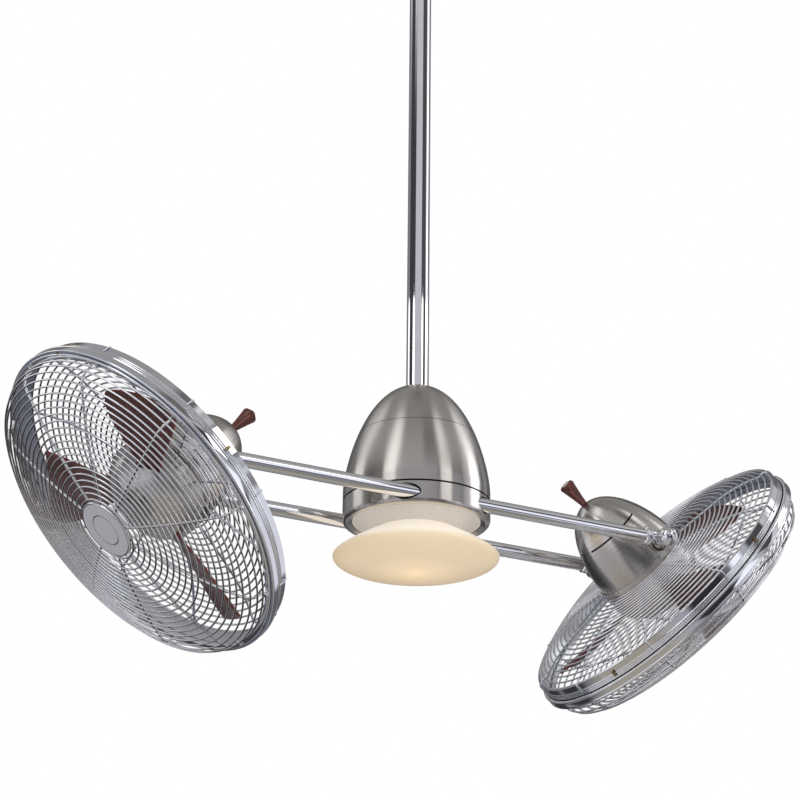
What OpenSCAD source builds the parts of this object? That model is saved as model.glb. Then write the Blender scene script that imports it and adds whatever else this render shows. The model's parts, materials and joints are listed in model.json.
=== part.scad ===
// Twin head ceiling fan: two caged fan heads on a pair of rods that turn under a lit hub.
// Millimetres, +Z up. The origin is on the ceiling, in the middle of the hanger bracket.

/* [Ceiling hanger] */
// Distance between the two ceiling screw holes
ceiling_hole_spacing = 88.9; // [80:0.1:100]
// Radius of a ceiling screw hole
ceiling_hole_r = 2.7; // [2.2:0.1:3.5]
// Radius of the bracket plate
bracket_r = 58; // [54:1:62]
// Thickness of the bracket plate
bracket_t = 2.5; // [2:0.5:4]
// Radius of the hanger ball
ball_r = 25; // [24:0.5:26]
// Depth of the ball centre below the ceiling
ball_depth = 36; // [34:1:38]
// Radius of the canopy
canopy_r = 68; // [65:1:85]
// Height of the canopy
canopy_h = 58; // [57:1:90]
// Radius of the canopy's lower corner
canopy_corner = 20; // [6:1:22]
// Radius of the opening that the downrod passes through
canopy_hole_r = 19; // [18:0.5:22]
// Thickness of the canopy sheet
canopy_wall = 1.2; // [0.8:0.1:2]

/* [Downrod] */
// Outer radius of the downrod
downrod_r = 13.35; // [12:0.05:14]
// Wall of the downrod
downrod_wall = 2.5; // [2:0.1:3]
// Length of the downrod
downrod_length = 610; // [300:5:1200]

/* [Hub] */
// Largest radius of the egg shaped hub
hub_r = 85.4; // [82:0.1:90]
// Length of the egg, from its widest place to its tip
hub_length = 131.7; // [124:0.1:145]
// Height of the widest place above the rods
hub_mid = 24.5; // [20:0.1:28]
// Height of the seam between cap and shell above the rods
cap_seam = 93.5; // [90:0.5:98]
// Height of the seam between shell and turning ring above the rods
ring_seam = 13; // [12.6:0.1:16]
// Dark gap at the turning seam
ring_gap = 2; // [0.8:0.1:2.6]
// Depth of the turning ring below the rods
ring_depth = 14; // [13:0.5:18]
// Radius of the ring's lower corner
ring_corner = 6; // [5:0.5:8]
// Wall of the hub castings
hub_wall = 2; // [1.5:0.1:3]

/* [Light] */
// Radius of the light pan
pan_r = 74; // [70:0.5:75]
// Depth of the pan's rim below the rods
pan_rim_depth = 9.4; // [9.3:0.1:11]
// Depth of the pan's floor below the rods
pan_floor_depth = 20; // [19:0.5:24]
// Radius of the glass shade
shade_r = 96; // [90:0.5:98]
// Depth of the shade's rim below the pan's floor
shade_rim_drop = 32; // [28:1:36]
// Depth of the shade's bowl below its rim
shade_bowl = 20; // [18:1:30]
// Radius of the shade's neck
shade_neck_r = 46; // [42:0.5:50]
// Thickness of the glass
glass_t = 3; // [2:0.1:4]
// Radius of the lamp
lamp_r = 9; // [7:0.5:12]
// Length of the lamp
lamp_length = 22; // [16:1:23]

/* [Arms] */
// Radius of an arm rod
rod_r = 8.2; // [7.5:0.1:8.6]
// Wall of an arm rod
rod_wall = 1.8; // [1.2:0.1:3]
// Distance of each rod from the middle of the fan
rod_offset = 67; // [66.6:0.1:68]
// Distance of each head's pivot from the middle of the fan
pivot_x = 298; // [297:1:340]
// Radius of the knuckle at a rod's end
knuckle_r = 11; // [9.5:0.1:12]
// Radius of the domed cap on a pivot bolt
cap_r = 10; // [7:0.1:11]
// Length of the domed cap on a pivot bolt
cap_length = 13.4; // [11:0.1:16]
// Radius of a pivot bolt
bolt_r = 4; // [3:0.1:5]

/* [Head] */
// Angle of the left head below level
left_tilt = 44.6; // [0:0.1:90]
// Angle of the right head below level
right_tilt = 38; // [0:0.1:90]
// Largest radius of the head's egg shaped housing
housing_r = 58.2; // [57:0.1:58.4]
// Half length of the housing, from its widest place to its tip
housing_length = 109.5; // [105:0.5:115]
// Distance of the widest place in front of the pivot
housing_mid = 26.2; // [24:0.1:28]
// Distance of the housing's front edge in front of the pivot
housing_front = 35; // [33:0.5:36]
// Wall of the housing
housing_wall = 2; // [1.5:0.1:2.5]
// Distance of the vent slots behind the pivot
slot_back = 42; // [40:0.5:50]
// Width of a vent slot
slot_w = 2; // [1.5:0.1:3]
// Angle that a vent slot spans
slot_angle = 94; // [60:1:105]
// Length of the wooden knob
knob_length = 34; // [28:1:40]
// Radius of the knob's tip
knob_tip_r = 7.8; // [6:0.1:9]
// Radius of the knob's root
knob_root_r = 3.6; // [3.2:0.1:4.5]

/* [Motor] */
// Radius of the motor shaft
shaft_r = 5; // [4:0.1:6]
// Radius of the rotor core
rotor_r = 26; // [22:0.5:27]
// Radius of the stator
stator_r = 44; // [40:0.5:45]
// Length of the stator
stator_length = 44; // [38:1:46]

/* [Blades] */
// Radius of the blade tips
blade_tip_r = 165; // [150:1:168]
// Distance of the blades in front of the pivot
blade_t = 55; // [53:0.5:57]
// Pitch of the blades
blade_pitch = 18; // [8:0.5:20]
// Half width of a blade at its root
blade_root_w = 14; // [10:0.5:16]
// Half width of a blade near its tip
blade_wide_w = 41; // [30:0.5:44]
// Thickness of a blade
blade_thick = 5; // [3:0.5:6]
// Sideways sweep of a blade at its tip
blade_sweep = 9; // [0:0.5:12]
// Turn of the left head's blades
left_turn = 60.4; // [0:0.1:120]
// Turn of the right head's blades
right_turn = 50; // [0:0.1:120]
// Radius of the domed blade hub
spinner_r = 60; // [58:0.5:61]
// Length of the domed blade hub
spinner_length = 45; // [42:1:50]

/* [Cage] */
// Radius of the bright band round the cage
band_r = 195; // [194:0.5:200]
// Distance of the band's front edge in front of the pivot
band_front = 68; // [67:0.5:70]
// Width of the band
band_width = 10.5; // [9:0.5:12]
// Distance of the guards' wire rims inside the band
rim_inset = 9; // [8:0.5:11]
// Distance of the front guard's middle in front of the pivot
front_apex = 116.5; // [110:0.5:125]
// Distance of the front guard's rim in front of the pivot
front_rim = 76; // [75:0.5:78]
// Radius of the wide bulge of the front guard
front_bulge = 656; // [600:2:900]
// Width of the front guard's turned down edge
front_edge = 13.3; // [11:0.1:20]
// Distance of the rear guard's middle in front of the pivot
rear_apex = 18.8; // [18:0.1:20]
// Distance of the rear guard's rim in front of the pivot
rear_rim = 42; // [41:0.5:44]
// Radius of the wide bulge of the rear guard
rear_bulge = 1500; // [1200:10:2500]
// Width of the rear guard's steeper outer part
rear_edge = 66; // [46:1:76]
// Radius of a ring wire
wire_r = 1.1; // [0.8:0.1:1.3]
// Radius of a rib wire
rib_r = 1.5; // [1.2:0.1:1.8]
// Spacing of the ring wires along the guard
wire_pitch = 7.4; // [6:0.1:12]
// Number of ribs in a guard
rib_count = 10; // [6:1:12]
// Radius of the medallion
medallion_r = 35; // [30:0.5:38]
// Thickness of the medallion
medallion_t = 4; // [3:0.5:6]

/* [Hidden] */

NICKEL = [0.70, 0.68, 0.65];
CHROME = [0.82, 0.84, 0.87];
STEEL = [0.55, 0.57, 0.60];
BLACK = [0.08, 0.08, 0.09];
COPPER = [0.70, 0.42, 0.24];
WOOD = [0.36, 0.15, 0.11];
OPAL = [0.96, 0.91, 0.80];
BRASS = [0.75, 0.62, 0.32];

$fn = 96;
SEAT = 0.3;   // clearance where one piece seats on another
RUN = 0.05;   // radial clearance of a running fit
EPS = 0.01;

// Heights on the hanging part. arm_z is the height of the rods' axes.
ball_z = -ball_depth;
rod_above_ball = 8;
rod_in_hub = 26;
rod_top_z = ball_z + rod_above_ball;
rod_low_z = rod_top_z - downrod_length;
hub_hole_r = downrod_r + 1;
egg_power = 1.48;
egg_round = 0.44;
hub_top = hub_mid + hub_length
  * pow(1 - pow((hub_hole_r + 0.8) / hub_r, 1 / egg_round), 1 / egg_power);
arm_z = rod_low_z - (hub_top - rod_in_hub);

// Points of half an ellipse's outline from angle a0 to a1, radius first and height second.
function ellipse_arc(r, len, mid, a0, a1, n) =
  [for (i = [0:n]) let (a = a0 + (a1 - a0) * i / n) [r * cos(a), mid + len * sin(a)]];
// Angle on that ellipse at a height.
function ellipse_a(len, mid, z) = asin(min(1, (z - mid) / len));
function reversed(list) = [for (i = [len(list) - 1:-1:0]) list[i]];

// The hub is an egg: straight sided below its widest place, and fuller than an ellipse above it.
// Its radius at a height, a wall's inset inside the outer face.
function hub_radius(z, inset = 0) = let (t = (z - hub_mid) / (hub_length - inset))
  (hub_r - inset) * pow(1 - pow(max(0, t), egg_power), egg_round);
function hub_arc(z0, z1, inset, n) = let (length = hub_length - inset,
    a0 = ellipse_a(length, hub_mid, z0), a1 = ellipse_a(length, hub_mid, z1))
  [for (i = [0:n]) let (z = hub_mid + length * sin(a0 + (a1 - a0) * i / n)) [hub_radius(z, inset), z]];

// The hub's shell between two heights.
module hub_part(z0, z1, n = 28) {
  rotate_extrude() polygon(concat(hub_arc(z0, z1, 0, n), reversed(hub_arc(z0, z1, hub_wall, n))));
}

// A turned ellipsoid shell between two heights. It is closed where z1 is its tip.
module egg_shell(r, length, mid, wall, z0, z1, n = 28) {
  rotate_extrude() polygon(concat(
    ellipse_arc(r, length, mid, ellipse_a(length, mid, z0), ellipse_a(length, mid, z1), n),
    reversed(ellipse_arc(r - wall, length - wall, mid,
      ellipse_a(length - wall, mid, z0), ellipse_a(length - wall, mid, z1), n))));
}

// A ring of rectangular section.
module ring(r_out, r_in, z0, z1) {
  translate([0, 0, z0]) difference() {
    cylinder(r = r_out, h = z1 - z0);
    translate([0, 0, -1]) cylinder(r = r_in, h = z1 - z0 + 2);
  }
}

// A cylinder along Y between two distances from the middle.
module y_rod(r, y0, y1) {
  translate([0, y0, 0]) rotate([-90, 0, 0]) cylinder(r = r, h = y1 - y0);
}

// Both halves of something mirrored across the XZ plane.
module both_sides() {
  children();
  mirror([0, 1, 0]) children();
}

// ---- Ceiling hanger ----

seat_h = 10;
seat_drop = 16;
seat_wall = 6;
seat_r = ball_r + seat_wall;
seat_z = ball_z - seat_drop;
leg_w = 14;
leg_t = 5;
bracket_window_r = 20;
canopy_inner_r = canopy_r - canopy_wall;
tab_w = 16;
tab_drop = 12;
tab_t = 2.5;
canopy_screw_r = 2.5;

module hanger_bracket() {
  color(STEEL) difference() {
    union() {
      translate([0, 0, -bracket_t]) cylinder(r = bracket_r, h = bracket_t);
      translate([0, 0, seat_z]) cylinder(r = seat_r, h = seat_h);
      for (a = [45:90:315]) rotate(a)
        translate([seat_r - leg_t, -leg_w / 2, seat_z]) cube([leg_t + 3, leg_w, -seat_z - bracket_t + EPS]);
      for (a = [90, 270]) rotate(a) {
        translate([bracket_r - 6, -tab_w / 2, -bracket_t])
          cube([canopy_inner_r - SEAT - bracket_r + 6, tab_w, bracket_t]);
        translate([canopy_inner_r - SEAT - tab_t, -tab_w / 2, -tab_drop]) cube([tab_t, tab_w, tab_drop]);
      }
    }
    translate([0, 0, ball_z]) sphere(r = ball_r + SEAT);
    translate([0, 0, seat_z - 1]) cylinder(r = ball_r * 0.84, h = seat_h);
    translate([0, 0, -bracket_t - 1]) cylinder(r = bracket_window_r, h = bracket_t + 2);
    for (s = [-1, 1]) translate([s * ceiling_hole_spacing / 2, 0, -bracket_t - 1])
      cylinder(r = ceiling_hole_r, h = bracket_t + 2);
    for (a = [90, 270]) rotate(a) translate([bracket_r, 0, -tab_drop / 2 - 1]) rotate([0, 90, 0])
      cylinder(r = canopy_screw_r, h = canopy_r);
  }
}

module canopy_outline(r, h, corner) {
  translate([0, -h]) square([r - corner, h]);
  translate([0, -h + corner]) square([r, h - corner]);
  translate([r - corner, -h + corner]) circle(r = corner);
}

module canopy() {
  color(NICKEL) difference() {
    rotate_extrude() intersection() {
      canopy_outline(canopy_r, canopy_h, canopy_corner);
      translate([0, -2 * canopy_h]) square([2 * canopy_r, 2 * canopy_h]);
    }
    translate([0, 0, EPS]) rotate_extrude() intersection() {
      canopy_outline(canopy_inner_r, canopy_h - canopy_wall, canopy_corner - canopy_wall);
      translate([0, -2 * canopy_h]) square([2 * canopy_r, 2 * canopy_h]);
    }
    translate([0, 0, -canopy_h - 1]) cylinder(r = canopy_hole_r, h = canopy_wall + 2);
    for (a = [90, 270]) rotate(a) translate([canopy_r - 10, 0, -tab_drop / 2 - 1]) rotate([0, 90, 0])
      cylinder(r = canopy_screw_r, h = 20);
  }
}

module canopy_screws() {
  color(NICKEL) for (a = [90, 270]) rotate(a) translate([0, 0, -tab_drop / 2 - 1]) rotate([0, 90, 0]) {
    translate([0, 0, canopy_inner_r - SEAT - tab_t - 4])
      cylinder(r = canopy_screw_r - 0.1, h = canopy_wall + SEAT + tab_t + 4);
    translate([0, 0, canopy_r]) cylinder(r = canopy_screw_r * 1.8, h = 2);
  }
}

pin_r = 3;

module hanger_ball() {
  color(BLACK) difference() {
    translate([0, 0, ball_z]) sphere(r = ball_r);
    translate([0, 0, ball_z - ball_r - 1]) cylinder(r = downrod_r + RUN, h = 2 * ball_r + 2);
    translate([0, 0, ball_z + rod_above_ball + 6]) cylinder(r = ball_r, h = ball_r);
    translate([0, 0, ball_z]) y_rod(pin_r, -pin_reach, pin_reach);
  }
}

yoke_pin_z = rod_low_z + 10;
pin_reach = downrod_r + 7;

module rod_pins() {
  color(STEEL) for (z = [ball_z, yoke_pin_z]) translate([0, 0, z]) y_rod(pin_r, -pin_reach, pin_reach);
}

module downrod() {
  color(CHROME) difference() {
    translate([0, 0, rod_low_z]) cylinder(r = downrod_r, h = downrod_length);
    translate([0, 0, rod_low_z - 1]) cylinder(r = downrod_r - downrod_wall, h = downrod_length + 2);
    translate([0, 0, ball_z]) y_rod(pin_r, -downrod_r - 1, downrod_r + 1);
    translate([0, 0, yoke_pin_z]) y_rod(pin_r, -downrod_r - 1, downrod_r + 1);
  }
}

// ---- Fixed part of the hub, drawn with the rods' axes at height 0 ----

module at_arms() {
  translate([0, 0, arm_z]) children();
}

rod_low = rod_low_z - arm_z;
yoke_r = downrod_r + 5;
yoke_top = rod_low + 20;
web_top = cap_seam - 4;
web_t = 3;
flange_t = 4;
web_low = web_top - web_t;
flange_low = web_low - flange_t;
yoke_flange_r = 34;
main_shaft_r = 9;
main_bore_r = 5;
main_shaft_top = rod_low - 6;
nut_h = 6;
hub_nut_r = 15;
main_shaft_low = -pan_floor_depth - nut_h - 4;

module yoke() {
  color(STEEL) at_arms() difference() {
    union() {
      translate([0, 0, flange_low]) cylinder(r = yoke_r, h = yoke_top - flange_low);
      translate([0, 0, flange_low]) cylinder(r = yoke_flange_r, h = flange_t);
    }
    translate([0, 0, rod_low]) cylinder(r = downrod_r, h = yoke_top);
    translate([0, 0, flange_low - 1]) cylinder(r = main_shaft_r, h = rod_low - flange_low + 2);
    translate([0, 0, rod_low + 10]) y_rod(pin_r, -yoke_r - 1, yoke_r + 1);
  }
}

seam_gap = 0.6;
spigot_top = cap_seam + 4;
spigot_r = hub_radius(spigot_top) - hub_wall - SEAT;

module top_cap() {
  color(NICKEL) at_arms() difference() {
    union() {
      hub_part(cap_seam + seam_gap / 2, hub_top);
      ring(hub_radius(spigot_top + 2) - hub_wall / 3, spigot_r - 2.6, spigot_top, spigot_top + 2);
    }
    cylinder(r = downrod_r + SEAT, h = 2 * hub_length);
  }
}

module hub_shell() {
  color(NICKEL) at_arms() union() {
    hub_part(ring_seam + ring_gap / 2, cap_seam - seam_gap / 2);
    ring(hub_radius(web_top) - hub_wall / 3, yoke_r + SEAT, web_low, web_top);
    // The spigot that the cap sits on
    ring(spigot_r, spigot_r - 2.6, web_top - 1, spigot_top);
  }
}

module main_shaft() {
  color(STEEL) at_arms() difference() {
    translate([0, 0, main_shaft_low]) cylinder(r = main_shaft_r, h = main_shaft_top - main_shaft_low);
    translate([0, 0, main_shaft_low - 1])
      cylinder(r = main_bore_r, h = main_shaft_top - main_shaft_low + 2);
  }
}

bearing_r = 15;
bearing_h = 9;
bearing_low = -5;
bearing_high = 10;
carrier_top = ring_seam - ring_gap / 2 - 0.4;
carrier_t = 3;
carrier_low = carrier_top - carrier_t;

module shaft_nuts() {
  pan_z = -pan_floor_depth;
  color(STEEL) at_arms() for (z = [bearing_low - nut_h - SEAT, pan_z, pan_z - pan_sheet - nut_h])
    difference() {
      translate([0, 0, z]) cylinder(r = hub_nut_r - 2, h = nut_h, $fn = 6);
      translate([0, 0, z - 1]) cylinder(r = main_shaft_r, h = nut_h + 2);
    }
}

slip_r = 20;
slip_low = bearing_high + bearing_h + 1;
slip_h = 26;
brush_w = 18;

module brush_block() {
  color(BLACK) at_arms() {
    translate([-brush_w / 2, -slip_r - 12.5, slip_low + 2]) cube([brush_w, 12, slip_h - 4]);
    translate([-brush_w / 2, -slip_r - 12.5, slip_low + slip_h - 2 - EPS])
      cube([brush_w, 5, flange_low - slip_low - slip_h + 2 + EPS]);
  }
}

pan_sheet = 1.2;

module light_pan() {
  sheet = pan_sheet;
  color(NICKEL) at_arms() {
    rotate_extrude() polygon([
      [main_shaft_r, -pan_floor_depth], [shade_neck_r + 1, -pan_floor_depth],
      [pan_r - 2, -pan_rim_depth], [pan_r, -pan_rim_depth],
      [pan_r, -pan_rim_depth - sheet], [pan_r - 1.4, -pan_rim_depth - sheet],
      [shade_neck_r + 1.6, -pan_floor_depth - sheet],
      [shade_neck_r - glass_t - 0.5, -pan_floor_depth - sheet],
      [shade_neck_r - glass_t - 0.5, -pan_floor_depth - 8],
      [shade_neck_r - glass_t - 2, -pan_floor_depth - 8],
      [shade_neck_r - glass_t - 2, -pan_floor_depth - sheet], [main_shaft_r, -pan_floor_depth - sheet]
    ]);
  }
}

holder_r = 13;
holder_h = 12;
holder_top = main_shaft_low;

module lamp_holder() {
  color(OPAL) at_arms() difference() {
    translate([0, 0, holder_top - holder_h]) cylinder(r = holder_r, h = holder_h);
    translate([0, 0, holder_top - holder_h - 1]) cylinder(r = lamp_r - 3, h = 8);
  }
}

module lamp() {
  low = holder_top - holder_h - lamp_length + lamp_r;
  color(OPAL) at_arms() {
    translate([0, 0, low]) cylinder(r = lamp_r, h = lamp_length - lamp_r - 0.2);
    translate([0, 0, low]) intersection() {
      sphere(r = lamp_r);
      translate([0, 0, -lamp_r]) cube([2 * lamp_r, 2 * lamp_r, 2 * lamp_r], center = true);
    }
    translate([0, 0, holder_top - holder_h - 1]) cylinder(r = lamp_r - 3 - SEAT, h = 6);
  }
}

shade_top = -pan_floor_depth - pan_sheet;
shade_rim = -pan_floor_depth - shade_rim_drop;

// The shade's upper side swells a little from the neck to the rim, and its lower side is a
// shallow bowl.
shade_swell = 0.2;
function shade_points(inset) = concat(
  [for (i = [0:14]) let (a = 90 * i / 14)
    [shade_neck_r + (shade_r - shade_neck_r - inset) * sin(a) - inset * cos(a) * 0.2,
     shade_rim + (shade_top - shade_rim)
       * (shade_swell * cos(a) + (1 - shade_swell) * (1 - sin(a)))]],
  [for (i = [1:16]) let (a = 90 * i / 16)
    [(shade_r - inset) * cos(a), shade_rim - (shade_bowl - inset) * sin(a)]]);

module glass_shade() {
  color(OPAL) at_arms() difference() {
    rotate_extrude() polygon(concat([[0, shade_top]], shade_points(0)));
    rotate_extrude() polygon(concat([[0, shade_top - glass_t]], [for (p = shade_points(glass_t))
      [p[0], min(p[1], shade_top - glass_t)]]));
    translate([0, 0, shade_top - 2 * glass_t]) cylinder(r = shade_neck_r - glass_t, h = 4 * glass_t);
  }
}

// ---- Turning part of the hub ----

ring_r = hub_radius(ring_seam);
ring_top = ring_seam - ring_gap / 2;
ledge_w = 1.5;
rod_hole_r = rod_r + 1.6;

module ring_outline(r, low, corner) {
  n = 10;
  polygon(concat(
    [[pan_r + 0.6, -pan_rim_depth - 0.2], [pan_r + 0.6, -pan_rim_depth - 1.8], [r - corner, low]],
    [for (i = [1:n]) let (a = 90 * i / n) [r - corner + corner * sin(a), low + corner - corner * cos(a)]],
    [[r, ring_top], [r - hub_wall, ring_top], [r - hub_wall, carrier_low],
      [r - hub_wall - ledge_w, carrier_low], [r - hub_wall - ledge_w, carrier_low - 2],
      [r - hub_wall, carrier_low - 2]],
    [for (i = [n:-1:1]) let (a = 90 * i / n) [r - corner + (corner - hub_wall) * sin(a),
      low + corner - (corner - hub_wall) * cos(a)]],
    [[r - corner, low + hub_wall]]));
}

module swivel_ring() {
  color(NICKEL) at_arms() difference() {
    rotate_extrude() ring_outline(ring_r, -ring_depth, ring_corner);
    for (s = [-1, 1]) translate([-ring_r - 1, s * rod_offset, 0]) rotate([0, 90, 0])
      cylinder(r = rod_hole_r, h = 2 * ring_r + 2);
  }
}

module carrier() {
  color(STEEL) at_arms() difference() {
    union() {
      translate([0, 0, carrier_low]) cylinder(r = ring_r - hub_wall - 0.2, h = carrier_t);
      translate([0, 0, bearing_low])
        cylinder(r = bearing_r + 4, h = bearing_high + bearing_h - bearing_low);
    }
    translate([0, 0, bearing_low - 1]) cylinder(r = bearing_r, h = bearing_h + 1);
    translate([0, 0, bearing_low]) cylinder(r = bearing_r - 2.5, h = 40);
    translate([0, 0, bearing_high]) cylinder(r = bearing_r, h = bearing_h + 1);
    for (s = [-1, 1], x = [-1, 1]) translate([x * clamp_x, s * clamp_y, 0])
      cylinder(r = clamp_screw_r, h = 40);
  }
}

module carrier_bearings() {
  color(CHROME) at_arms() for (z = [bearing_low, bearing_high])
    ring(bearing_r, main_shaft_r + RUN, z, z + bearing_h);
}

module slip_ring() {
  color(BRASS) at_arms() difference() {
    union() {
      translate([0, 0, bearing_high + bearing_h]) cylinder(r = bearing_r + 4, h = 1 + EPS);
      translate([0, 0, slip_low]) cylinder(r = slip_r - 1, h = slip_h);
      for (i = [0:3]) translate([0, 0, slip_low + 3 + i * 6]) cylinder(r = slip_r, h = 3);
    }
    translate([0, 0, 0]) cylinder(r = main_shaft_r + 1.5, h = 100);
  }
}

clamp_length = 40;
clamp_inner = 13.5;
clamp_outer = 9.6;
clamp_x = 13;
clamp_screw_r = 1.5;
clamp_y = rod_offset - rod_r - 0.6 - clamp_screw_r;
rod_screw_length = 12;

module rod_clamps() {
  color(STEEL) at_arms() both_sides() difference() {
    translate([-clamp_length / 2, rod_offset - clamp_inner, -5])
      cube([clamp_length, clamp_inner + clamp_outer, carrier_low + 5]);
    translate([-clamp_length, rod_offset, 0]) rotate([0, 90, 0]) cylinder(r = rod_r, h = 2 * clamp_length);
    for (x = [-1, 1]) translate([x * clamp_x, clamp_y, -20]) cylinder(r = clamp_screw_r, h = 40);
  }
}

// A small screw that hangs down from its head's seat at height 0.
module rod_screw() {
  translate([0, 0, -rod_screw_length]) cylinder(r = clamp_screw_r, h = rod_screw_length);
  cylinder(r = clamp_screw_r * 1.8, h = 1);
}

module rod_screws() {
  color(STEEL) at_arms() {
    both_sides() for (x = [-1, 1]) translate([x * clamp_x, clamp_y, carrier_top]) rod_screw();
    at_pivots() translate([-collar_reach + 5, rod_offset, rod_r + 3]) rod_screw();
  }
}

// ---- Arms and pivots ----

boss_face = housing_r + 0.2;
washer_t = 1.8;
washer_in = boss_face + 0.3;
knuckle_in = washer_in + washer_t;
knuckle_out = rod_offset + rod_r + 1.4;
collar_r = rod_r + 1.8;
collar_reach = 27;
collar_end = knuckle_r + 2;
rod_end = pivot_x - knuckle_r - 1;
bolt_inner = boss_face - 10;
bolt_outer = knuckle_out + cap_length / 2;

// Four copies of something at the pivots. A child is drawn at the right head's +Y pivot.
module at_pivots() {
  for (s = [0, 1]) mirror([s, 0, 0]) both_sides() translate([pivot_x, 0, 0]) children();
}

module arm_rod(side) {
  color(CHROME) at_arms() difference() {
    translate([-rod_end, side * rod_offset, 0]) rotate([0, 90, 0]) cylinder(r = rod_r, h = 2 * rod_end);
    translate([-rod_end - 1, side * rod_offset, 0]) rotate([0, 90, 0])
      cylinder(r = rod_r - rod_wall, h = 2 * rod_end + 2);
    at_pivots() translate([-collar_reach + 5, rod_offset, 0]) cylinder(r = clamp_screw_r, h = 20);
  }
}

module front_rod() { arm_rod(-1); }
module rear_rod() { arm_rod(1); }

module knuckles() {
  color(CHROME) at_arms() at_pivots() difference() {
    union() {
      y_rod(knuckle_r, knuckle_in, knuckle_out);
      translate([-collar_end - 1, knuckle_in, -rod_r + 0.4])
        cube([collar_end + 1, knuckle_out - knuckle_in, 2 * rod_r - 0.8]);
      translate([-collar_reach, rod_offset, 0]) rotate([0, 90, 0])
        cylinder(r = collar_r, h = collar_reach - collar_end);
      translate([-collar_reach + 5, rod_offset, rod_r]) cylinder(r = clamp_screw_r * 2, h = 3);
    }
    translate([-collar_reach - 1, rod_offset, 0]) rotate([0, 90, 0])
      cylinder(r = rod_r, h = collar_reach - knuckle_r);
    translate([-collar_reach + 5, rod_offset, 0]) cylinder(r = clamp_screw_r, h = 20);
    y_rod(bolt_r, 0, 2 * knuckle_out);
  }
}

module pivot_bolts() {
  color(STEEL) at_arms() at_pivots() y_rod(bolt_r, bolt_inner, bolt_outer);
}

module cap_nuts() {
  n = 12;
  color(CHROME) at_arms() at_pivots() difference() {
    translate([0, knuckle_out, 0]) rotate([-90, 0, 0]) rotate_extrude() polygon(concat(
      [[0, 0], [cap_r - 1.6, 0], [cap_r, cap_length * 0.3]],
      [for (i = [1:n]) let (a = 90 * i / n) [cap_r * cos(a), cap_length * (0.3 + 0.7 * sin(a))]]));
    y_rod(bolt_r, 0, bolt_outer);
  }
}

module pivot_washers() {
  color(BLACK) at_arms() at_pivots() difference() {
    y_rod(knuckle_r + 0.8, washer_in, knuckle_in);
    y_rod(bolt_r, 0, 2 * knuckle_in);
  }
}

// ---- One head, drawn about its own axis: +Z is where it blows and the pivot is at height 0 ----

module left_head() {
  at_arms() translate([-pivot_x, 0, 0]) rotate([0, -90 - left_tilt, 0]) children();
}

module right_head() {
  at_arms() translate([pivot_x, 0, 0]) rotate([0, 90 + right_tilt, 0]) children();
}

boss_r = 11.5;
housing_back = housing_mid - housing_length;
knob_stud_r = 2;
slot_phase = -55;
slot_count = 3;

module housing() {
  color(NICKEL) difference() {
    union() {
      mirror([0, 0, 1]) egg_shell(housing_r, housing_length, -housing_mid, housing_wall, -housing_front,
        housing_length - housing_mid);
      // The inner ring that the motor's front plate sits against
      ring(housing_r - housing_wall / 2, stator_r + 5.5, stator_front - 3, stator_front);
      both_sides() y_rod(boss_r, bolt_inner - 1, boss_face);
    }
    both_sides() y_rod(bolt_r + RUN, 0, 2 * boss_face);
    translate([0, 0, housing_back - 5]) cylinder(r = knob_stud_r, h = 12);
    guard_screw_holes();
    for (i = [0:slot_count - 1]) rotate(slot_phase + i * 360 / slot_count - slot_angle / 2)
      rotate_extrude(angle = slot_angle) translate([housing_r * 0.6, -slot_back - slot_w / 2])
        square([housing_r, slot_w]);
  }
}

module knob() {
  n = 10;
  root = -housing_back + 0.4;
  color(WOOD) mirror([0, 0, 1]) rotate_extrude() polygon(concat(
    [[0, root - 6], [knob_stud_r, root - 6], [knob_stud_r, root]],
    [for (i = [0:n]) let (s = i / n) [knob_root_r + (knob_tip_r - knob_root_r) * pow(s, 1.3),
      root + (knob_length - 1.5) * s]],
    [[knob_tip_r - 1.2, root + knob_length], [0, root + knob_length]]));
}

plate_front = 22;
plate_t = 4;
stator_front = plate_front - plate_t;
stator_back = stator_front - stator_length;
front_bearing = [plate_front - 3, plate_front + 4];
rear_bearing = [stator_back - plate_t - 4, stator_back - 1];
motor_bearing_r = 11;

module stator() {
  color(COPPER) ring(stator_r, rotor_r + 0.5, stator_back, stator_front);
}

module end_plates() {
  color(STEEL) {
    ring(housing_r - housing_wall - 0.6, motor_bearing_r, stator_front, plate_front);
    ring(motor_bearing_r + 3, motor_bearing_r, plate_front - EPS, front_bearing[1]);
    ring(stator_r - 6, motor_bearing_r, stator_back - plate_t, stator_back);
    ring(motor_bearing_r + 3, motor_bearing_r, rear_bearing[0], stator_back - plate_t + EPS);
  }
}

module bearings() {
  color(CHROME) for (b = [front_bearing, rear_bearing]) ring(motor_bearing_r, shaft_r + RUN, b[0], b[1]);
}

spinner_back = housing_front + 1.5;
boss_front = blade_t + 12;

module rotor() {
  color(STEEL) {
    translate([0, 0, stator_back - 12]) cylinder(r = shaft_r, h = boss_front + 4 - stator_back + 12);
    translate([0, 0, stator_back + 3]) cylinder(r = rotor_r, h = stator_length - 6);
  }
}

blade_slack = 0.3;
blade_inner_r = 18;

module blade_slots(slack) {
  for (k = [0:2]) rotate(120 * k) translate([0, 0, blade_t]) rotate([blade_pitch, 0, 0])
    translate([blade_inner_r, -blade_root_w - slack, -blade_thick / 2 - slack])
      cube([spinner_r, 2 * (blade_root_w + slack), blade_thick + 2 * slack]);
}

module spinner() {
  color(NICKEL) {
    difference() {
      union() {
        egg_shell(spinner_r, spinner_length, spinner_back, housing_wall, spinner_back,
          spinner_back + spinner_length);
        for (a = [0:120:240]) rotate(a + 60) translate([blade_inner_r + 4, -1.5, spinner_back + 1])
          cube([spinner_r - blade_inner_r - 4 - housing_wall + 0.4, 3, 7]);
      }
      blade_slots(0.5);
    }
    difference() {
      ring(blade_inner_r + 8, shaft_r, spinner_back + 1, boss_front);
      blade_slots(0);
    }
  }
}

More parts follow.
